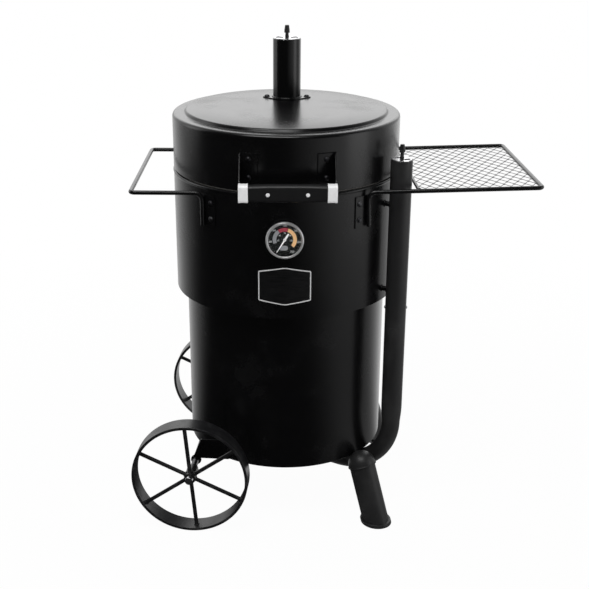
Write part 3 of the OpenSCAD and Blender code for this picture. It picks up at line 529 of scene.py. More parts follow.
# The record's slot of each finish, and every CAD node's own finish.
slotOf = {"blackPaint": "black_paint", "wheelPaint": "black_paint", "tubePaint": "black_paint",
          "darkSteel": "dark_steel", "zinc": "zinc", "brightSteel": "bright_steel",
          "satinSilver": "bright_steel", "bezelSteel": "bright_steel", "gasketFelt": "gasket_felt",
          "plateDark": "plate_metal", "plateEdge": "plate_metal", "dialBlack": "dial_face",
          "dialWhite": "dial_face", "dialGrey": "dial_face", "dialRed": "dial_face",
          "dialCream": "dial_face", "needleWhite": "needle_white", "dialGlass": "dial_glass",
          "knobBlack": "knob_black", "gripBlack": "grip_black", "grateSteel": "grate_steel",
          "hotIron": "hot_iron"}
for part in frame["record"]["subparts"]:
    first = next(name for name, held in slotOf.items() if held == part["material_slot"])
    for held in frame["nodes"][part["node"]].material_slots:
        held.material = finishes[first]
print("stage: finishes")


# Every mesh is drawn in millimetres about the drum axis. This adds a part to a larger mesh.
def joined(target, part, matrix=None):
    mesh = bpy.data.meshes.new("part")
    part.to_mesh(mesh)
    if matrix:
        mesh.transform(matrix)
        if matrix.determinant() < 0:
            mesh.flip_normals()
    target.from_mesh(mesh)
    bpy.data.meshes.remove(mesh)


# Adds a part in several places, and lets go of it.
def spread(target, part, matrices):
    for matrix in matrices:
        joined(target, part, matrix)
    part.free()


def gathered(*parts):
    whole = bmesh.new()
    for part in parts:
        joined(whole, part)
        part.free()
    return whole


# Gives a finished mesh to a body, in a finish, in place of the CAD nodes that it stands for.
def piece(name, bm, body, material, *replaced, sharp=38.0, place=None):
    bm.transform(toFrame @ place if place else toFrame)
    if place and place.determinant() < 0:
        bmesh.ops.reverse_faces(bm, faces=bm.faces)
    for face in bm.faces:
        face.smooth = True
    for edge in bm.edges:
        if len(edge.link_faces) == 2 and edge.calc_face_angle(0.0) > math.radians(sharp):
            edge.smooth = False
    mesh = bpy.data.meshes.new(name)
    bm.to_mesh(mesh)
    bm.free()
    made = bpy.data.objects.new(name, mesh)
    scene.collection.objects.link(made)
    mesh.materials.append(finishes[material])
    weighted = made.modifiers.new("weighted", "WEIGHTED_NORMAL")
    weighted.keep_sharp = True
    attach(made, body)
    if replaced:
        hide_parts(*replaced)
    return made


def beveled(bm, edges, offset, segments=3):
    bmesh.ops.bevel(bm, geom=list(edges), offset=offset, segments=segments, profile=0.5,
                    affect="EDGES", material=-1)


# Every edge sharper than a limit, given in degrees.
def sharpEdges(bm, limit=50.0):
    return [e for e in bm.edges if len(e.link_faces) == 2 and e.calc_face_angle(0.0) > math.radians(limit)]


near = 0.002                                  # how close to a corner a vertex counts as on it


# Turns corners (radius, height, rounding) about the local Z axis. A closed outline makes a ring.
def turned(corners, steps=96, closed=True, angle=360.0, start=0.0, segments=4):
    bm = bmesh.new()
    verts = [bm.verts.new((c[0], 0.0, c[1])) for c in corners]
    follow = verts[1:] + (verts[:1] if closed else [])
    edges = [bm.edges.new(pair) for pair in zip(verts, follow)]
    whole = abs(angle) > 359.9
    bmesh.ops.rotate(bm, verts=verts, matrix=Matrix.Rotation(math.radians(start), 3, "Z"))
    bmesh.ops.spin(bm, geom=verts + edges, cent=(0, 0, 0), axis=(0, 0, 1), angle=math.radians(angle),
                   steps=steps, use_merge=whole)
    if not whole and closed:
        bmesh.ops.holes_fill(bm, edges=[e for e in bm.edges if e.is_boundary], sides=0)
    bmesh.ops.remove_doubles(bm, verts=bm.verts, dist=1e-4)
    for corner in corners:
        if len(corner) > 2:
            here = {v for v in bm.verts if abs(v.co.xy.length - corner[0]) < near
                    and abs(v.co.z - corner[1]) < near}
            beveled(bm, [e for e in bm.edges if here.issuperset(e.verts)], corner[2], segments)
    bmesh.ops.recalc_face_normals(bm, faces=bm.faces)
    return bm


# A round wire ring, lying flat.
def wireRing(radius, height, wire, steps=160, sides=16):
    bm = bmesh.new()
    circle = bmesh.ops.create_circle(bm, segments=sides, radius=wire,
                                     matrix=shifted(radius, 0, height) @ turnedBy(90, "X"))
    bmesh.ops.spin(bm, geom=circle["verts"] + list(bm.edges), cent=(0, 0, 0), axis=(0, 0, 1), angle=turn,
                   steps=steps, use_merge=True)
    bmesh.ops.recalc_face_normals(bm, faces=bm.faces)
    return bm


# A round bar with eased ends along the local Z axis.
def bar(radius, low, high, ease=0.6, sides=32):
    return turned([(0, low), (radius, low, ease), (radius, high, ease), (0, high)], sides, closed=False,
                  segments=2)


def block(x, y, z, ease=0.8, segments=2):
    bm = bmesh.new()
    bmesh.ops.create_cube(bm, size=1.0, matrix=Matrix.Diagonal((x, y, z, 1)))
    beveled(bm, bm.edges, ease, segments)
    return bm


# A flat outline of corners (x, y, rounding), raised to a thickness, with eased edges.
def slab(corners, low, high, ease=0.5):
    bm = bmesh.new()
    face = bm.faces.new([bm.verts.new((c[0], c[1], low)) for c in corners])
    for vert, corner in zip(list(face.verts), corners):
        if len(corner) > 2 and vert.is_valid:
            bmesh.ops.bevel(bm, geom=[vert], offset=corner[2], segments=5, profile=0.5, affect="VERTICES",
                            material=-1)
    grown = bmesh.ops.extrude_face_region(bm, geom=list(bm.faces), use_keep_orig=True)
    bmesh.ops.translate(bm, vec=(0, 0, high - low),
                        verts=[g for g in grown["geom"] if isinstance(g, bmesh.types.BMVert)])
    bmesh.ops.recalc_face_normals(bm, faces=bm.faces)
    if ease:
        beveled(bm, sharpEdges(bm, 40.0), ease, 2)
    return bm


# A rod through points, bent to a radius at each inner point.
def bentRod(points, radius, bends, sides=20, steps=12):
    bm = bmesh.new()
    points = [Vector(p) for p in points]
    legs = [(b - a).normalized() for a, b in zip(points, points[1:])]
    lay = legs[0].to_track_quat("Z", "X").to_matrix().to_4x4()
    bmesh.ops.create_circle(bm, cap_ends=True, segments=sides, radius=radius,
                            matrix=Matrix.Translation(points[0]) @ lay)
    rim = list(bm.edges)
    at = points[0]
    for leg, after, corner, bend in zip(legs, legs[1:] + [None], points[1:], [*bends, 0.0]):
        swing = leg.angle(after) if after else 0.0
        cut = bend * math.tan(swing / 2)
        grown = bmesh.ops.extrude_edge_only(bm, edges=rim)["geom"]
        rim = [g for g in grown if isinstance(g, bmesh.types.BMEdge)]
        bmesh.ops.translate(bm, vec=corner - leg * cut - at,
                            verts=[g for g in grown if isinstance(g, bmesh.types.BMVert)])
        if after:
            inward = (after - leg * leg.dot(after)).normalized()
            made = bmesh.ops.spin(bm, geom=list({v for e in rim for v in e.verts}) + rim,
                                  cent=corner - leg * cut + inward * bend,
                                  axis=leg.cross(after).normalized(), angle=swing, steps=steps)
            rim = [g for g in made["geom_last"] if isinstance(g, bmesh.types.BMEdge)]
            at = corner + after * cut
    bmesh.ops.holes_fill(bm, edges=rim, sides=0)
    bmesh.ops.recalc_face_normals(bm, faces=bm.faces)
    beveled(bm, sharpEdges(bm, 60.0), radius * 0.15, 2)
    return bm


def arcPoints(x, y, radius, start, end, count):
    angles = [math.radians(start + (end - start) * i / count) for i in range(count + 1)]
    return [(x + radius * math.cos(a), y + radius * math.sin(a)) for a in angles]


# Takes the cutters' shapes away from a solid.
def cutBy(solid, *cutters):
    held = []
    for part in (solid, gathered(*cutters)):
        mesh = bpy.data.meshes.new("held")
        part.to_mesh(mesh)
        part.free()
        held.append(bpy.data.objects.new("held", mesh))
        scene.collection.objects.link(held[-1])
    change = held[0].modifiers.new("cut", "BOOLEAN")
    change.operation, change.solver, change.object = "DIFFERENCE", "EXACT", held[1]
    mesh = bpy.data.meshes.new_from_object(held[0].evaluated_get(bpy.context.evaluated_depsgraph_get()))
    bm = bmesh.new()
    bm.from_mesh(mesh)
    for one in held:
        data = one.data
        bpy.data.objects.remove(one)
        bpy.data.meshes.remove(data)
    bpy.data.meshes.remove(mesh)
    return bm


def moved(bm, matrix):
    bm.transform(matrix)
    return bm


# Cuts a mesh at a plane, takes away the side that the normal points to and closes the cut.
def trimmed(bm, at, normal, close=True):
    made = bmesh.ops.bisect_plane(bm, geom=list(bm.verts) + list(bm.edges) + list(bm.faces), dist=1e-5,
                                  plane_co=at, plane_no=normal, clear_outer=True)
    if close:
        bmesh.ops.holes_fill(bm, edges=[g for g in made["geom_cut"] if isinstance(g, bmesh.types.BMEdge)
                                        and g.is_boundary], sides=0)
    return bm


# Bends a flat part (x sideways, y up, z outwards) round a wall that faces -Y.
def wrapped(bm, radius, pitch=4.0):
    reach = max(v.co.x for v in bm.verts)
    count = int(2 * reach / pitch)
    for i in range(1, count):
        bmesh.ops.bisect_plane(bm, geom=list(bm.verts) + list(bm.edges) + list(bm.faces), dist=1e-5,
                               plane_co=(reach * (2 * i / count - 1), 0, 0), plane_no=(1, 0, 0))
    for vert in bm.verts:
        angle, out = vert.co.x / radius, radius + vert.co.z
        vert.co = (out * math.sin(angle), -out * math.cos(angle), vert.co.y)
    return bm


# A bent steel strap on a wall, between two bearings.
def strap(radius, thick, low, high, start, end, ease=0.7):
    outline = [(radius, low), (radius + thick, low), (radius + thick, high), (radius, high)]
    bm = turned(outline, max(6, int(abs(end - start) * 1.5)), angle=end - start, start=start)
    beveled(bm, sharpEdges(bm, 60.0), ease, 2)
    return bm


# Presses grooves into a turned part, or ripples into a weld.
def rippled(bm, count, depth, low=-1e4, high=1e4):
    for vert in bm.verts:
        if low < vert.co.z < high:
            wave = 1 + depth * math.cos(count * math.atan2(vert.co.y, vert.co.x))
            vert.co.x, vert.co.y = vert.co.x * wave, vert.co.y * wave
    return bm


# A rippled weld bead round a tube that stands on a surface.
def weld(radius, wire, flatten=1.0):
    bm = wireRing(radius, 0, wire, steps=96, sides=10)
    bm.transform(Matrix.Diagonal((1, 1, flatten, 1)))
    return rippled(bm, 32, 0.012)


# A hexagon nut with chamfered corners, standing on z = 0.
def hexNut(radius, height):
    bm = bmesh.new()
    bmesh.ops.create_cone(bm, cap_ends=True, segments=6, radius1=radius, radius2=radius, depth=height,
                          matrix=shifted(0, 0, height / 2))
    beveled(bm, bm.edges, 0.5, 2)
    return bm


# A dome-headed bolt with a washer; the clamped stack lies below z = 0, with the nut under it.
def bolt(grip):
    head = turned([(0, 0), (7, 0, 0.3), (7, 1.2, 0.3), (5.8, 1.25), (5.5, 2.6, 0.8), (3.9, 4.0, 0.9),
                   (0, 4.4)], 32, closed=False, segments=2)
    nut = moved(hexNut(5.6, 4.2), shifted(0, 0, -grip - 4.4))
    return gathered(head, bar(3.0, -grip - 6.0, 0.6, sides=16), nut)


# A shallow domed screw head with a cross recess, standing on z = 0.
def crossScrew(radius, height):
    head = turned([(0, -0.5), (radius, -0.5), (radius, 0.35, 0.25), (radius * 0.6, height * 0.82, 0.6),
                   (0, height)], 32, closed=False, segments=2)
    slots = [moved(block(radius * 1.1, 0.9, height, 0.1, 1), turnedBy(a) @ shifted(0, 0, height))
             for a in (0, 90)]
    return cutBy(cutBy(head, slots[0]), slots[1])


# Stands a part that points along +Z on a round wall, pointing outwards.
def onWall(degrees, radius, height):
    return turnedBy(degrees) @ shifted(radius, 0, height) @ turnedBy(90, "Y")


alongX = Matrix(((0, 0, 1, 0), (1, 0, 0, 0), (0, 1, 0, 0), (0, 0, 0, 1)))      # (x, y, z) to (z, x, y)
standing = turnedBy(90, "X")                                                   # (x, y, z) to (x, -z, y)
bothEnds = [Matrix(), Matrix.Diagonal((1, -1, 1, 1))]
bothSides = [Matrix(), Matrix.Diagonal((-1, 1, 1, 1))]
allCorners = [a @ b for a in bothEnds for b in bothSides]
mirrored = [Matrix(), Matrix.Diagonal((1, 1, -1, 1))]                          # both ends of a Z axis
print("stage: tools")


drumR = span("lid_shell").x / 2
lowerR = span("lower_drum").x / 2
sheet = 2.0                                   # thickness of the drum's and lid's steel
leaf = 3.0                                    # thickness of the bent brackets
skirtZ, beadZ = lowOf("upper_drum").z, highOf("upper_drum").z - 4.0
floorZ, ledgeZ = lowOf("lower_drum").z, highOf("lower_drum").z
pipe = fromAxis("intake_pipe")
pipeReach, pipeAt, pipeR = pipe.xy.length, math.degrees(bearing(pipe)), span("intake_pipe").x / 2
portReach, portR = 215.0, 15.0                # the air inlet in the drum floor

drumLook = {"bead": 4.0, "beadIn": 2.5, "flange": 14.0, "seamAt": 100.0, "seamRise": 0.8, "steps": 240,
            "gasket": (6.6, 13.0)}


def upperDrum():
    beadR, mouth = drumR - drumLook["beadIn"], drumR - drumLook["flange"]
    shell = turned([(drumR, skirtZ, 0.6), *arcPoints(beadR, beadZ, drumLook["bead"], -50, 130, 14),
                    (mouth, beadZ + 3, 0.8), (mouth, beadZ + 1, 0.8), (drumR - 5, beadZ + 1),
                    (drumR - sheet, beadZ - 2), (drumR - sheet, skirtZ, 0.6)], drumLook["steps"])
    seam = moved(bar(2.0, skirtZ + 3, beadZ - 8), turnedBy(drumLook["seamAt"])
                 @ shifted(drumR - 2.0 + drumLook["seamRise"], 0, 0))
    piece("upperDrum", gathered(shell, seam), "drum", "blackPaint", "upper_drum")


def lowerDrum():
    shell = turned([(0, floorZ), (lowerR, floorZ, 3.0), (lowerR, ledgeZ), (lowerR - sheet, ledgeZ),
                    (lowerR - sheet, floorZ + sheet, 1.2), (0, floorZ + sheet)], drumLook["steps"],
                   closed=False)
    port = moved(bar(portR, -12, 12, 0, 48), turnedBy(pipeAt) @ shifted(portReach, 0, floorZ))
    shell = cutBy(shell, port)
    seam = moved(bar(2.0, floorZ + 5, ledgeZ - 3), turnedBy(drumLook["seamAt"] - 20)
                 @ shifted(lowerR - 2.0 + drumLook["seamRise"], 0, 0))
    inner = wireRing(lowerR, ledgeZ - 0.5, 2.6, steps=240, sides=12)
    whole = gathered(shell, seam, rippled(inner, 120, 0.0012))
    piece("lowerDrum", whole, "drum", "blackPaint", "lower_drum")


def rimGasket():
    low, high = lowOf("rim_gasket").z, highOf("rim_gasket").z
    outer, inner = (drumR - inset for inset in drumLook["gasket"])
    ring = turned([(inner, low), (outer, low), (outer, high, 2.0), (inner, high, 2.0)], drumLook["steps"])
    piece("rimGasket", ring, "drum", "gasketFelt", "rim_gasket")


plateLook = {"half": (60.5, 36.0), "peak": 10.0, "peakBend": 6.0, "corner": 4.0, "thick": 1.0,
             "border": 2.6, "inset": 0.7, "rise": 0.5}


def roundedRectangle(x, y, corner):
    return [(x, y, corner), (-x, y, corner), (-x, -y, corner), (x, -y, corner)]


# The plate's outline, with a peak in the middle of its upper and lower edges, drawn in from the edge.
def plateOutline(inset):
    (x, y), corner = plateLook["half"], max(0.5, plateLook["corner"] - inset)
    x, y, peak, bend = x - inset, y - inset * 0.9, plateLook["peak"], plateLook["peakBend"]
    return [(x, y, corner), (0, y + peak, bend), (-x, y, corner),
            (-x, -y, corner), (0, -y - peak, bend), (x, -y, corner)]


def namePlate():
    place = shifted(0, 0, fromAxis("name_plate").z)
    field = slab(plateOutline(0.0), 0, plateLook["thick"], 0.35)
    piece("plateField", wrapped(field, drumR + 0.1), "drum", "plateDark", "name_plate", place=place)
    inset, thick = plateLook["inset"], plateLook["thick"]
    border = cutBy(slab(plateOutline(inset), thick - 0.4, thick + plateLook["rise"], 0.15),
                   slab(plateOutline(inset + plateLook["border"]), -5, 5, 0))
    piece("plateBorder", wrapped(border, drumR + 0.1), "drum", "plateEdge", place=place)


upperDrum()
lowerDrum()
rimGasket()
namePlate()
print("stage: drum")


# The thermometer's local +Z points out of the dial, its +Y up.
gaugeR = span("gauge_bezel").x / 2
gaugePlace = shifted(0, -drumR - 0.3, fromAxis("gauge_bezel").z) @ standing
dialLook = {"face": 3.8, "print": 0.12, "from": -149.0, "to": 149.0, "steps": 30, "tickR": 36.0,
            "numbers": 7, "numberR": 32.4, "numberSize": 6.2, "outerStep": 50,
            "innerR": 14.6, "innerSize": 4.6, "innerStep": 25, "band": (18.7, 27.0), "points": -211.0}


# Turns a dial angle, clockwise from the top, into a place at a radius.
def onDial(angle, radius, height):
    return turnedBy(-angle) @ shifted(0, radius, height)


def numeral(text, size):
    curve = bpy.data.curves.new("numeral", "FONT")
    curve.body, curve.size, curve.extrude, curve.resolution_u = text, size, dialLook["print"] / 2, 3
    curve.align_x, curve.align_y = "CENTER", "CENTER"
    held = bpy.data.objects.new("numeral", curve)
    scene.collection.objects.link(held)
    mesh = bpy.data.meshes.new_from_object(held.evaluated_get(bpy.context.evaluated_depsgraph_get()))
    bm = bmesh.new()
    bm.from_mesh(mesh)
    bpy.data.objects.remove(held)
    bpy.data.curves.remove(curve)
    bpy.data.meshes.remove(mesh)
    return bm


def gaugeBody():
    case = turned([(0, 0), (gaugeR - 2.5, 0, 0.5), (gaugeR - 2.5, 12, 0.4), (gaugeR - 4, 12, 0.4),
                   (gaugeR - 4, 1.6), (0, 1.6)], 96, closed=False)
    piece("gaugeCase", case, "drum", "blackPaint", "gauge_case", place=gaugePlace)
    bezel = turned([(gaugeR - 2.4, 7.5), (gaugeR, 7.5, 0.8), (gaugeR, 13.4, 2.2), (gaugeR - 3.0, 15, 1.2),
                    (gaugeR - 5.6, 13.4, 0.6), (gaugeR - 5.6, 12.3), (gaugeR - 2.4, 12.3)], 128)
    piece("gaugeBezel", bezel, "drum", "bezelSteel", "gauge_bezel", place=gaugePlace)
    lens = turned([(0, 10.8), (gaugeR - 4.3, 10.8), (gaugeR - 4.3, 12.0), (0, 12.0)], 96, closed=False)
    piece("gaugeLens", lens, "drum", "dialGlass", "gauge_lens", place=gaugePlace)


def gaugeDial():
    face, thick = dialLook["face"], dialLook["print"]
    disc = turned([(1.5, 3.0), (gaugeR - 4.3, 3.0), (gaugeR - 4.3, face), (1.5, face)], 96)
    piece("dialDisc", disc, "drum", "dialBlack", "gauge_dial", place=gaugePlace)
    marks = bmesh.new()
    sweep = dialLook["to"] - dialLook["from"]
    for step in range(dialLook["steps"] + 1):
        whole = step % 5 == 0
        tick = block(0.9 if whole else 0.5, 2.6 if whole else 1.6, thick, 0.02, 1)
        angle = dialLook["from"] + sweep * step / dialLook["steps"]
        spread(marks, tick, [onDial(angle, dialLook["tickR"] - (0.5 if whole else 0.0), face + thick / 2)])
    for step in range(dialLook["numbers"]):
        angle = dialLook["from"] + sweep * step / (dialLook["numbers"] - 1)
        upright = shifted(0, dialLook["numberR"], face) @ turnedBy(angle)
        figure = numeral(str(step * dialLook["outerStep"]), dialLook["numberSize"])
        spread(marks, figure, [turnedBy(-angle) @ upright])
        if 0 < step < dialLook["numbers"] - 1:
            upright = shifted(0, dialLook["innerR"], face) @ turnedBy(angle)
            figure = numeral(str(step * dialLook["innerStep"]), dialLook["innerSize"])
            spread(marks, figure, [turnedBy(-angle) @ upright])
    piece("dialMarks", marks, "drum", "dialWhite", place=gaugePlace, sharp=20)
    low, high = dialLook["band"]
    for name, start, end in (("Grey", -112, -36), ("Red", -34, 16), ("Cream", 18, 132)):
        outline = [(low, face), (high, face), (high, face + thick), (low, face + thick)]
        arc = turned(outline, int((end - start) / 3), angle=end - start, start=90 - end)
        piece("dial" + name + "Band", arc, "drum", "dial" + name, place=gaugePlace, sharp=20)
    patch = slab(roundedRectangle(9.5, 5.6, 5.0), face, face + thick, 0)
    piece("dialPatch", patch, "drum", "dialGrey", place=gaugePlace @ shifted(-2.5, -19.7, 0), sharp=20)


def gaugeNeedle():
    hub = turned([(1.4, 5.4), (3.4, 5.4, 0.3), (3.4, 7.8, 0.5), (1.4, 7.8, 0.2)], 32)
    blade = slab([(-1.6, -16.4), (1.6, -16.4), (2.4, -9), (1.9, 0), (0.6, 33.4), (0, 34), (-0.6, 33.4),
                  (-1.9, 0), (-2.4, -9)], 6.0, 6.8, 0.15)
    place = gaugePlace @ turnedBy(dialLook["points"])
    piece("needle", gathered(hub, blade), "needle", "needleWhite", "gauge_needle", place=place)


gaugeBody()
gaugeDial()
gaugeNeedle()
print("stage: thermometer")


# The intake pipe stands upright; its elbow turns in under the drum, in the plane of the drum axis.
pipePlace = turnedBy(pipeAt) @ shifted(pipeReach, 0, 0)
jointZ, pipeTop = lowOf("intake_pipe").z, highOf("intake_pipe").z
elbowZ = lowOf("intake_lower").z
elbowLook = {"radius": 141.0, "outer": 22.0, "inner": 20.0, "cone": 30.0, "plug": 145.0, "riser": 17.0,
             "sleeve": 60.0, "screwsAt": (30.0, -150.0)}


def intakePipe():
    neck, outer, inner = pipeR - sheet - 0.1, elbowLook["outer"], elbowLook["inner"]
    upper = turned([(pipeR - sheet, jointZ, 0.3), (pipeR, jointZ, 0.7), (pipeR, pipeTop, 0.7),
                    (pipeR - sheet, pipeTop, 0.5)], 72)
    piece("intakePipe", upper, "drum", "tubePaint", "intake_pipe", place=pipePlace)
    coneTop, sleeveTop = elbowZ + elbowLook["cone"], jointZ + elbowLook["sleeve"]
    lower = turned([(inner, elbowZ), (outer, elbowZ), (pipeR, coneTop, 14), (pipeR, jointZ - 0.2, 0.7),
                    (neck, jointZ + 0.8), (neck, sleeveTop, 0.6), (neck - sheet, sleeveTop, 0.6),
                    (neck - sheet, coneTop)], 72)
    piece("intakeLower", lower, "drum", "tubePaint", "intake_lower", place=pipePlace)
    bend = elbowLook["radius"]
    shell = turned(arcPoints(bend, 0, outer, 0, 360 - 360 / 64, 63), 48, angle=90)
    bore = turned(arcPoints(bend, 0, inner, 0, 360 - 360 / 48, 47), 46, angle=92, start=-2)
    elbow = moved(cutBy(shell, bore), shifted(pipeReach - bend, 0, elbowZ) @ turnedBy(-90, "X"))
    axisZ = elbowZ - bend
    plug = moved(bar(outer, elbowLook["plug"], pipeReach - bend + 0.1, 1.0, 64),
                 shifted(0, 0, axisZ) @ turnedBy(90, "Y"))
    riserR, low, high = elbowLook["riser"], axisZ + 12, floorZ - 0.05
    riser = turned([(portR, low), (riserR, low), (riserR, high), (portR, high)], 48)
    spread(riser, weld(riserR + 0.6, 1.8), [shifted(0, 0, floorZ - 1.9)])
    piece("intakeElbow", gathered(elbow, plug, moved(riser, shifted(portReach, 0, 0))), "drum", "tubePaint",
          "intake_elbow", place=turnedBy(pipeAt))


def pipeFittings():
    posts = bmesh.new()
    length = pipeReach - pipeR - drumR
    post = gathered(bar(6.0, -1.2, length + 1.2, 0.2), moved(weld(6.6, 1.7), shifted(0, 0, 0.3)),
                    moved(weld(6.6, 1.7), shifted(0, 0, length - 0.2)))
    levels = (highOf("pipe_standoffs").z - 6, lowOf("pipe_standoffs").z + 6)
    spread(posts, post, [onWall(pipeAt, drumR, z) for z in levels])
    piece("pipeStandoffs", posts, "drum", "blackPaint", "pipe_standoffs")
    screws = bmesh.new()
    level = fromAxis("pipe_screws").z
    spread(screws, crossScrew(4.0, 2.4), [onWall(a, pipeR + 0.1, level) for a in elbowLook["screwsAt"]])
    piece("pipeScrews", screws, "drum", "zinc", "pipe_screws", place=pipePlace)


intakePipe()
pipeFittings()
print("stage: intake")


# A flue top is a fixed cap, a turning plate and a knob, drawn with the tube's top at z = 0.
stackAt, stackTop = fromAxis("stack_tube").xy, highOf("stack_tube").z
stackR, stackWall = span("stack_tube").x / 2, 1.5
flueTops = {"intake": {"place": pipePlace @ shifted(0, 0, pipeTop), "bore": pipeR - sheet, "tab": -41.0,
                       "knob": 35.0, "fixed": "drum"},
            "stack": {"place": shifted(*stackAt, stackTop), "bore": stackR - stackWall, "tab": -78.0,
                      "knob": 31.0, "fixed": "lid"}}


# Sectors of a disc on opposite sides, to cut openings with.
def flueOpenings(bore, starts):
    cutters = [turned([(bore * 0.3, -4), (bore * 0.86, -4), (bore * 0.86, 4), (bore * 0.3, 4)], 24, angle=80,
                      start=start) for start in starts]
    return gathered(*cutters)


def flueTop(name, place, bore, tab, knob, fixed):
    cap = cutBy(turned([(0, -1.6), (bore - 0.1, -1.6, 0.3), (bore - 0.1, 0, 0.3), (0, 0)], 72, closed=False),
                flueOpenings(bore, (50, 230)))
    thread = [(2.7 if i % 2 else 3.0, i * 0.6) for i in range(int((knob - 9) / 0.6))]
    stud = turned([(0, -1), (2.7, -1), *thread, (2.4, knob - 8.6), (0, knob - 8)], 20, closed=False)
    piece(name + "Cap", gathered(cap, stud), fixed, "zinc", name + "_cap", place=place)
    disc = turned([(3.05, 0.3), (bore - 0.5, 0.3, 0.4), (bore - 0.5, 1.8, 0.4), (3.05, 1.8, 0.3)], 72)
    plate = cutBy(disc, flueOpenings(bore - 0.5, (-40, 140)))
    root, tip = bore * 0.88, bore + 3.4
    finger = slab([(root, -7), (tip, -7, 2.5), (tip, 7, 2.5), (root, 7)], 0.32, 1.78, 0.4)
    piece(name + "Plate", gathered(plate, moved(finger, turnedBy(tab))), name + "_damper", "brightSteel",
          name + "_damper_plate", place=place)
    nut = moved(hexNut(5.4, 4.6), shifted(0, 0, 2.0))
    grip = turned([(3.05, 6.4), (4.0, 6.4), (4.0, knob - 18.2), (6.6, knob - 18, 0.6), (6.6, knob - 13.4),
                   (6.2, knob - 12.6), (6.5, knob - 12), (4.7, knob - 0.2, 1.2), (0, knob), (0, knob - 6),
                   (3.05, knob - 6)], 54, closed=False)
    rippled(grip, 9, 0.035, knob - 11.9, knob - 0.5)
    piece(name + "Knob", gathered(nut, grip), name + "_damper", "knobBlack", name + "_knob", place=place)


for name, values in flueTops.items():
    flueTop(name, **values)
print("stage: flue tops")


lidZ, crownZ = lowOf("lid_shell").z, highOf("lid_shell").z
stackPlace, stackTall = shifted(*stackAt, crownZ), stackTop - crownZ
handleTurn = turnedBy(1.2)
# The crown's slope as (radius, drop), its step down to the groove, the rim, the seam and the bolts.
lidLook = {"slope": ((162.0, 0.0), (190.0, 0.9), (215.0, 2.6)), "step": (235.5, 4.8), "groove": 239.6,
           "rimDrop": 12.0, "rimBend": 8.0, "hole": 30.0, "seamAt": 86.0,
           "bracketBolts": (921.0, 880.0), "bracketBoltAt": 18.3, "leafBolt": 872.0}
flangeLook = {"collar": 8.0, "bolt": 48.0, "ear": 10.0, "thick": 2.5}
leafBoltAt = 9.0                              # the hinge's bolts, from the rear, in degrees


def lidShell():
    rim, mouth = crownZ - lidLook["rimDrop"], drumR - drumLook["flange"]
    (stepR, stepDrop), groove, bend = lidLook["step"], lidLook["groove"], lidLook["rimBend"]
    slope = [(radius, crownZ - drop) for radius, drop in lidLook["slope"]]
    outside = [(0, crownZ), *slope, (stepR, crownZ - stepDrop, 2.6), (groove, rim, 2.2),
               (drumR, rim, bend), (drumR, lidZ, 0.7)]
    inside = [(mouth, lidZ, 0.7), (mouth, lidZ + sheet), (drumR - sheet, lidZ + sheet, 1.0),
              (drumR - sheet, rim - sheet, bend - sheet), (groove - 2.2, rim - sheet),
              (stepR - 1.7, crownZ - stepDrop - sheet, 1.6),
              *((radius, z - sheet) for radius, z in reversed(slope)), (0, crownZ - sheet)]
    shell = turned(outside + inside, drumLook["steps"], closed=False, segments=6)
    shell = cutBy(shell, moved(bar(lidLook["hole"], -20, 20, 0, 72), stackPlace))
    seam = moved(bar(1.6, lidZ + 4, rim - 9), turnedBy(lidLook["seamAt"]) @ shifted(drumR - 1.0, 0, 0))
    piece("lidShell", gathered(shell, seam), "lid", "blackPaint", "lid_shell")


def stack():
    bore = stackR - stackWall
    tube = turned([(bore, 0), (stackR, 0), (stackR, stackTall, 0.6), (bore, stackTall, 0.5)], 96)
    bead = moved(weld(stackR + 0.6, 2.2), shifted(0, 0, flangeLook["thick"] + 0.2))
    piece("stackTube", gathered(tube, bead), "lid", "blackPaint", "stack_tube", place=stackPlace)
    collar, ear, boltX = stackR + flangeLook["collar"], flangeLook["ear"], flangeLook["bolt"]
    lean = math.degrees(math.acos((collar - ear) / boltX))
    outline = [*arcPoints(boltX, 0, ear, -lean, lean, 14),
               *arcPoints(0, 0, collar, lean, 180 - lean, 20),
               *arcPoints(-boltX, 0, ear, 180 - lean, 180 + lean, 14),
               *arcPoints(0, 0, collar, 180 + lean, 360 - lean, 20)]
    flange = cutBy(slab(outline, 0.02, flangeLook["thick"], 0.5), bar(stackR - 0.2, -5, 8, 0, 72))
    piece("stackFlange", flange, "lid", "blackPaint", "stack_flange", place=stackPlace)


def lidBolts():
    out = drumR + leaf + 0.1
    places = [handleTurn @ onWall(-90 + s * lidLook["bracketBoltAt"], out, z)
              for z in lidLook["bracketBolts"] for s in (-1, 1)]
    places += [onWall(90 + s * leafBoltAt, out, lidLook["leafBolt"]) for s in (-1, 1)]
    places += [stackPlace @ shifted(s * flangeLook["bolt"], 0, flangeLook["thick"]) for s in (-1, 1)]
    bolts = bmesh.new()
    spread(bolts, bolt(leaf + sheet), places)
    piece("lidBolts", bolts, "lid", "darkSteel", "lid_bolts")


lidShell()
stack()
lidBolts()
print("stage: lid and stack")


# The handle is drawn before its turn, so X runs along the grip.
grip = handleTurn.inverted() @ fromAxis("handle_grip")
handleLook = {"half": 105.5, "ferrule": 21.0, "height": 37.0, "depth": 24.0, "corner": 7.0, "barrel": 34.0,
              "taper": 0.08, "screw": 42.5, "bar": 4.0, "barHeight": 26.0, "low": 866.0, "high": 935.0,
              "strapFrom": -76.0, "strapTo": -66.4, "webIn": 245.6}


# Bar along X with a rounded section, between two lengths.
def roundedBar(low, high, height, depth, ease):
    return slab(roundedRectangle(depth / 2, height / 2, handleLook["corner"]), low, high, ease)


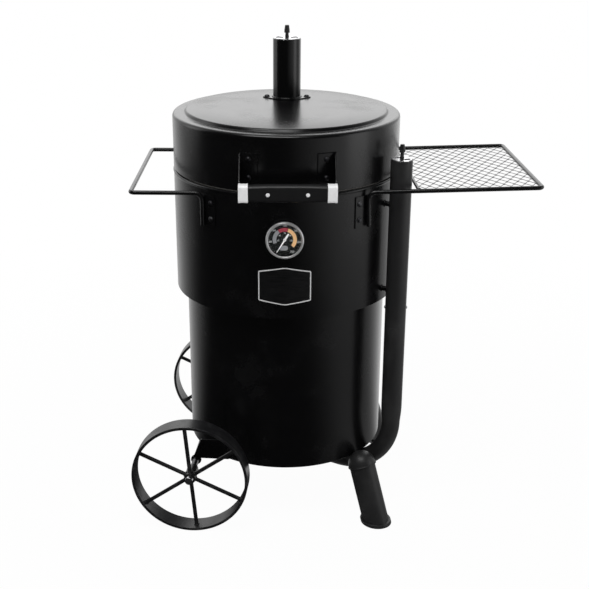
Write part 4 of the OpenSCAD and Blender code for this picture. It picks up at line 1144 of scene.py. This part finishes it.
def handleGrip():
    end = handleLook["half"] - handleLook["ferrule"]
    body = roundedBar(-end, end, handleLook["height"], handleLook["depth"], 0)
    barrel = handleLook["barrel"]
    for cut in (-2 * barrel - 2, -1.5 * barrel - 1, -barrel, -barrel / 2, 0,
                barrel / 2, barrel, 1.5 * barrel + 1, 2 * barrel + 2):
        bmesh.ops.bisect_plane(body, geom=list(body.verts) + list(body.edges) + list(body.faces), dist=1e-5,
                               plane_co=(0, 0, cut), plane_no=(0, 0, 1))
    for vert in body.verts:
        past = max(0.0, abs(vert.co.z) - barrel) / (end - barrel)
        vert.co.y *= 1 - handleLook["taper"] * past ** 1.4
    place = handleTurn @ shifted(0, grip.y, grip.z) @ alongX
    piece("handleGrip", body, "lid", "gripBlack", "handle_grip", place=place, sharp=50)
    caps = bmesh.new()
    tall, deep = handleLook["height"] + 2, handleLook["depth"] + 3
    cap = gathered(roundedBar(end + 0.1, end + 3.4, tall, deep, 0.8),
                   roundedBar(end + 3.2, handleLook["half"] - 5.4, tall - 1.0, deep - 1.0, 0.2),
                   roundedBar(handleLook["half"] - 5.6, handleLook["half"], tall, deep, 1.2))
    spread(caps, cap, mirrored)
    piece("handleFerrules", caps, "lid", "satinSilver", "handle_ferrules", place=place)
    screws = bmesh.new()
    heads = [shifted(s * handleLook["screw"], grip.y - handleLook["depth"] / 2 + 0.1, grip.z - 1) @ standing
             for s in (-1, 1)]
    spread(screws, crossScrew(4.2, 1.4), heads)
    piece("handleScrews", screws, "lid", "satinSilver", "handle_screws", place=handleTurn)


def handleBrackets():
    low, high, half = handleLook["low"], handleLook["high"], handleLook["half"]
    railThick, railHalf = handleLook["bar"], handleLook["barHeight"] / 2
    back = -grip.y - (handleLook["depth"] + 3) / 2 - railThick
    web = slab([(-handleLook["webIn"], high - 0.4), (-255, high - 0.4, 3), (-back, grip.z + 18, 4),
                (-back, grip.z - railHalf), (-back + 14, grip.z - railHalf, 5),
                (-handleLook["webIn"], low + 2)], half - leaf, half, 0.6)
    side = gathered(strap(drumR + 0.1, leaf, low, high, handleLook["strapFrom"], handleLook["strapTo"]),
                    moved(web, alongX))
    bracket = bmesh.new()
    spread(bracket, side, bothSides)
    rail = moved(block(2 * half, railThick, 2 * railHalf, 0.8), shifted(0, -back - railThick / 2, grip.z))
    spread(bracket, rail, [Matrix()])
    piece("handleBrackets", bracket, "lid", "blackPaint", "handle_brackets", place=handleTurn)


handleGrip()
handleBrackets()
print("stage: lid handle")


# The hinge's pin lies along X behind the rim.
hinge = fromAxis("hinge_pin")
hinge.x = 0
hingeLook = {"knuckle": 8.0, "bore": 4.05, "pin": 4.0, "pinLow": -76.0, "pinHead": 72.4, "headR": 6.5,
             "lid": 27.0, "drum": (27.5, 72.0), "drumLeafTop": 829.0, "drumArm": (816.0, 834.0),
             "lidLeafLow": 856.0, "lidArm": (857.0, 880.0)}


def knuckle(low, high):
    bore, outer = hingeLook["bore"], hingeLook["knuckle"]
    tube = turned([(bore, low), (outer, low, 0.6), (outer, high, 0.6), (bore, high)], 40)
    return moved(tube, shifted(0, hinge.y, hinge.z) @ turnedBy(90, "Y"))


def hingeLeaves():
    low, high = hingeLook["drum"]
    drumLeaf = strap(drumR + 0.1, leaf, lowOf("hinge_drum_leaf").z, hingeLook["drumLeafTop"], 73, 107)
    armLow, armHigh = hingeLook["drumArm"]
    arm = slab([(drumR - 0.5, armLow), (drumR + 3, armHigh, 1), (hinge.y - 5, hinge.z),
                (hinge.y + 6, hinge.z - 4), (drumR + 6, armLow, 2)], low, high, 0.7)
    joint = gathered(moved(arm, alongX), knuckle(low, high))
    spread(drumLeaf, joint, bothSides)
    piece("hingeDrumLeaf", drumLeaf, "drum", "blackPaint", "hinge_drum_leaf")
    half = hingeLook["lid"]
    lidLeaf = strap(drumR + 0.1, leaf, hingeLook["lidLeafLow"], highOf("hinge_lid_leaf").z, 77, 103)
    armLow, armHigh = hingeLook["lidArm"]
    arm = slab([(drumR - 1, armLow), (drumR - 1, armHigh), (drumR + 5, armHigh, 2),
                (hinge.y + 7, hinge.z + 3), (hinge.y - 6, hinge.z + 4)], -half, half, 0.7)
    spread(lidLeaf, gathered(moved(arm, alongX), knuckle(-half, half)), [Matrix()])
    piece("hingeLidLeaf", lidLeaf, "lid", "blackPaint", "hinge_lid_leaf")
    head, headR, reach = hingeLook["pinHead"], hingeLook["headR"], highOf("hinge_pin").x
    pinHead = turned([(0, head), (headR, head, 0.6), (headR, reach, 1.8), (0, reach)], 32, closed=False)
    pin = gathered(bar(hingeLook["pin"], hingeLook["pinLow"], head + 0.6, 0.8), pinHead)
    pin.transform(shifted(0, hinge.y, hinge.z) @ turnedBy(90, "Y"))
    piece("hingePin", pin, "drum", "zinc", "hinge_pin")


hingeLeaves()
print("stage: hinge")


# The side rods: a loop at the left, and the shelf's frame at the right.
rodR = 5.0
rodY = highOf("left_handle").y - rodR
rodLow, loopZ = lowOf("left_handle").z, highOf("left_handle").z - rodR
loopX = -lowOf("left_handle").x - rodR
rodLook = {"level": 834.0, "rise": 13.0, "skew": 22.0, "reach": 575.0, "inner": 300.0, "postBend": 18.0,
           "cornerBend": 10.0, "strap": (-54.3, -46.0), "bolts": (809.0, 772.0), "boltAt": 52.0,
           "leafBolt": 802.0}
meshLook = {"long": 41.0, "short": 24.0, "wide": 1.9, "thick": 1.1, "tilt": 9.0, "first": 17.0,
            "columns": 11, "rows": 5}
rodZ = rodLook["level"]
postX = math.sqrt((drumR + leaf + 0.2 + rodR) ** 2 - rodY ** 2)
shelfTilt = math.atan(rodLook["rise"] / (rodLook["reach"] - postX))
shelfEnd = postX + (rodLook["reach"] - postX) / math.cos(shelfTilt)
shelfPlace = shifted(postX, 0, rodZ) @ turnedBy(-math.degrees(shelfTilt), "Y") @ shifted(-postX, 0, -rodZ)
skew = rodLook["skew"] / (2 * rodY)
rodBends = [rodLook[bend] for bend in ("postBend", "cornerBend", "cornerBend", "postBend")]


# Point of the level shelf, moved in towards the rear.
def skewed(x, y):
    return x - skew * (y + rodY), y, rodZ


def rods():
    loop = bentRod([(-postX, -rodY, rodLow), (-postX, -rodY, loopZ), (-loopX, -rodY, loopZ),
                    (-loopX, rodY, loopZ), (-postX, rodY, loopZ), (-postX, rodY, rodLow)], rodR, rodBends)
    piece("leftHandle", loop, "drum", "blackPaint", "left_handle")
    inner = rodLook["inner"]
    shelf = bentRod([(postX, -rodY, rodLow), (postX, -rodY, rodZ), skewed(shelfEnd, -rodY),
                     skewed(shelfEnd, rodY), (postX, rodY, rodZ), (postX, rodY, rodLow)], rodR, rodBends)
    shelf = gathered(shelf, bentRod([skewed(inner, -rodY), skewed(inner, rodY)], rodR - 1, []))
    spread(shelf, weld(4.6, 1.6), [shifted(*skewed(inner, s * (rodY - rodR))) @ standing for s in (-1, 1)])
    piece("shelfFrame", shelf, "drum", "blackPaint", "shelf_frame", place=shelfPlace)


# Expanded metal: flattened strands that meet at bonds, clipped to the frame.
def shelfMesh():
    long, short = meshLook["long"] / 2, meshLook["short"] / 2
    run = Vector((-short, long, 0))
    strand = block(run.length + 2.5, meshLook["wide"], meshLook["thick"], 0.35, 1)
    strand.transform(turnedBy(meshLook["tilt"], "X"))
    pair = bmesh.new()
    slope = math.degrees(math.atan2(run.y, run.x))
    for side in (1, -1):
        angle = slope if side > 0 else 180 - slope
        joined(pair, strand, shifted(short / 2, side * long / 2, 0) @ turnedBy(angle))
        joined(pair, strand, shifted(-short / 2, side * long / 2, 0) @ turnedBy(180 - angle))
    strand.free()
    bond = block(3.6, 9.0, meshLook["thick"] + 0.5, 0.5, 1)
    spread(pair, bond, [shifted(short, 0, 0), shifted(0, long, 0)])
    sheetMesh = bmesh.new()
    first, rows = rodLook["inner"] + meshLook["first"], meshLook["rows"]
    spread(sheetMesh, pair, [shifted(first + i * 2 * short, j * 2 * long, 0)
                             for i in range(meshLook["columns"]) for j in range(-rows, rows + 1)])
    low, high, side = rodLook["inner"] + rodR - 0.8, shelfEnd - rodR - 0.2, highOf("shelf_mesh").y
    for at, normal in (((low, 0, 0), (-1, 0, 0)), ((high, 0, 0), (1, 0, 0)), ((0, side, 0), (0, 1, 0)),
                       ((0, -side, 0), (0, -1, 0))):
        trimmed(sheetMesh, at, normal)
    lean = Matrix(((1, -skew, 0, -skew * rodY), (0, 1, 0, 0), (0, 0, 1, rodZ), (0, 0, 0, 1)))
    piece("shelfMesh", moved(sheetMesh, lean), "drum", "blackPaint", "shelf_mesh", place=shelfPlace)


def rodBrackets():
    brackets = bmesh.new()
    spread(brackets, strap(drumR + 0.1, leaf, rodLow - 2, rodZ - 8, *rodLook["strap"]), allCorners)
    piece("rodBrackets", brackets, "drum", "blackPaint", "rod_brackets")
    bolts = bmesh.new()
    out = drumR + leaf + 0.1
    wallBolt = gathered(*(moved(bolt(leaf + sheet), onWall(-rodLook["boltAt"], out, z))
                          for z in rodLook["bolts"]))
    spread(bolts, wallBolt, allCorners)
    spread(bolts, bolt(leaf + sheet),
           [onWall(90 + s * leafBoltAt, out, rodLook["leafBolt"]) for s in (-1, 1)])
    piece("drumBolts", bolts, "drum", "darkSteel", "drum_bolts")


rods()
shelfMesh()
rodBrackets()
print("stage: rods and shelf")


# The legs and wheels turn together about the drum axis. A leg's local +Z runs up from the ground.
under = turnedBy(-4.6)
legLook = {"spread": 41.4, "reach": 329.0, "in": 58.0, "radius": 31.75, "wall": 2.0, "low": -30.0,
           "end": 154.0, "floor": 3.0, "arm": (58.0, 28.0, 12.0)}
socketLook = {"radius": 34.0, "bore": 32.0, "low": 146.0, "dome": 150.0}
footLook = {"radius": 36.5, "top": 8.0}


def legPlace(side):
    return (under @ turnedBy(side * legLook["spread"]) @ shifted(legLook["reach"], 0, 0)
            @ turnedBy(-math.degrees(math.atan(legLook["in"] / floorZ)), "Y"))


def legs():
    sockets, feet = bmesh.new(), bmesh.new()
    radius, bore, low, dome = (socketLook[key] for key in ("radius", "bore", "low", "dome"))
    socket = turned([(0, dome + 2), (bore, dome + 2), (bore, low, 0.4), (radius + 1, low, 0.6),
                     (radius + 1, low + 2, 0.6), (radius, low + 3), *arcPoints(0, dome, radius, 0, 84, 14),
                     (0, dome + radius)], 72, closed=False)
    arm = moved(block(*legLook["arm"], 1.2), shifted(lowerR - 11, 0, floorZ - 6.05))
    foot = bar(footLook["radius"], legLook["low"], 60, 0, 72)
    outer, inner, end = legLook["radius"], legLook["radius"] - legLook["wall"], legLook["end"]
    for name, side in (("front", -1), ("rear", 1)):
        tube = turned([(inner, legLook["low"]), (outer, legLook["low"]), (outer, end), (inner, end)], 72)
        trimmed(moved(tube, legPlace(side)), (0, 0, legLook["floor"]), (0, 0, -1), close=False)
        piece(name + "Leg", tube, "drum", "tubePaint", name + "_leg")
        joined(sockets, socket, legPlace(side))
        joined(sockets, arm, under @ turnedBy(side * legLook["spread"]))
        joined(feet, foot, legPlace(side))
    for part in (socket, arm, foot):
        part.free()
    trimmed(trimmed(feet, (0, 0, footLook["top"]), (0, 0, 1)), (0, 0, 0), (0, 0, -1))
    beveled(feet, sharpEdges(feet, 40.0), 0.9, 3)
    piece("legSockets", sockets, "drum", "tubePaint", "leg_sockets")
    piece("feet", feet, "drum", "tubePaint", "feet")


legs()
print("stage: legs")


# A wheel's local Z is the axle, outwards at the rear.
wheelLook = {"radius": 141.0, "out": 303.0, "band": 46.0, "thick": 7.0, "spoke": 4.8, "spokeAt": 285.0,
             "spokes": 6, "turn": -95.0, "hub": 14.0, "hubIn": 250.0, "bore": 8.05}
axleLook = {"x": -204.0, "radius": 8.0, "half": 304.0, "collar": 13.0, "collarAt": (245.0, 249.0),
            "cap": 10.0, "capAt": (297.8, 310.0), "plateY": 200.0, "plateThick": 4.0}
axlePlace = under @ shifted(axleLook["x"], 0, wheelLook["radius"]) @ turnedBy(-90, "X")


def wheel(name, side):
    look = wheelLook
    place = axlePlace @ Matrix.Diagonal((1, 1, side, 1))
    inner, low = look["radius"] - look["thick"], look["out"] - look["band"]
    band = turned([(inner, low, 1.0), (look["radius"], low, 1.4), (look["radius"], look["out"], 1.4),
                   (inner, look["out"], 1.0)], 144)
    piece(name + "WheelRim", band, name + "_wheel", "wheelPaint", name + "_wheel_rim", place=place)
    hubOut = look["out"] - 6
    spokes = turned([(look["bore"], look["hubIn"]), (look["hub"], look["hubIn"], 0.8),
                     (look["hub"], hubOut, 1.2), (look["bore"], hubOut, 0.4)], 48)
    spoke = gathered(bar(look["spoke"], look["hub"] - 2, inner + 1, 0.2, 24),
                     moved(weld(look["spoke"] + 0.3, 1.6), shifted(0, 0, inner - 0.4)),
                     moved(weld(look["spoke"] + 0.3, 1.6), shifted(0, 0, look["hub"] + 0.2)))
    step = 360 / look["spokes"]
    spread(spokes, spoke, [turnedBy(look["turn"] + step * i) @ shifted(0, 0, look["spokeAt"])
                           @ turnedBy(90, "Y") for i in range(look["spokes"])])
    piece(name + "WheelSpokes", spokes, name + "_wheel", "wheelPaint", name + "_wheel_spokes", place=place)


def axleParts():
    shaft = bar(axleLook["radius"], -axleLook["half"], axleLook["half"], 0.8, 40)
    (low, high), outer, inner = axleLook["collarAt"], axleLook["collar"], axleLook["radius"] - 1
    collar = turned([(inner, low), (outer, low, 0.8), (outer, high, 0.8), (inner, high)], 40)
    spread(shaft, collar, mirrored)
    piece("axle", shaft, "drum", "darkSteel", "axle", place=axlePlace)
    caps = bmesh.new()
    (low, high), outer, inner = axleLook["capAt"], axleLook["cap"], axleLook["radius"] + 0.1
    bottom = axleLook["half"] + 1
    cap = turned([(inner, low), (outer, low, 0.6), (outer, high, 2.6), (0, high), (0, bottom),
                  (inner, bottom)], 40, closed=False)
    spread(caps, cap, mirrored)
    piece("axleCaps", caps, "drum", "zinc", "axle_caps", place=axlePlace)
    plates = bmesh.new()
    half, outer, axleZ = axleLook["plateThick"] / 2, axleLook["collar"], wheelLook["radius"]
    low, high = axleZ + 5, floorZ + 46
    eye = turned([(inner, -half), (outer, -half, 0.6), (outer, half, 0.6), (inner, half)], 40)
    plate = gathered(slab([(-212, low), (-191, high, 2), (-120, high), (-120, low, 4), (-196, low)],
                          -half, half, 0.6), moved(eye, shifted(axleLook["x"], axleZ, 0)))
    spread(plates, moved(plate, shifted(0, -axleLook["plateY"], 0) @ standing), bothEnds)
    piece("axleBrackets", plates, "drum", "blackPaint", "axle_brackets", place=under)


wheel("front", -1)
wheel("rear", 1)
axleParts()
print("stage: wheels")


grateLook = {"ring": 2.6, "wire": 2.0, "pitch": 20, "wires": 12, "stay": 2.4, "stayX": 120}


def cookingGrate():
    ring, low = grateLook["ring"], lowOf("cooking_grate").z
    radius = span("cooking_grate").x / 2 - 3
    grate = wireRing(radius, low + ring, ring, steps=180)
    wires = bmesh.new()
    for i in range(-grateLook["wires"], grateLook["wires"] + 1):
        y = grateLook["pitch"] * i
        half = math.sqrt(radius ** 2 - y ** 2)
        wire = bar(grateLook["wire"], -half, half, 0.2, 12)
        spread(wires, wire, [shifted(0, y, low + 3.0) @ turnedBy(90, "Y")])
    for x in (-grateLook["stayX"], grateLook["stayX"]):
        half = math.sqrt(radius ** 2 - x ** 2)
        stay = bar(grateLook["stay"], -half, half, 0.2, 12)
        spread(wires, stay, [shifted(x, 0, low + 2.4) @ standing])
    piece("cookingGrate", gathered(grate, wires), "drum", "grateSteel", "cooking_grate")


cookingGrate()
print("stage: inside")
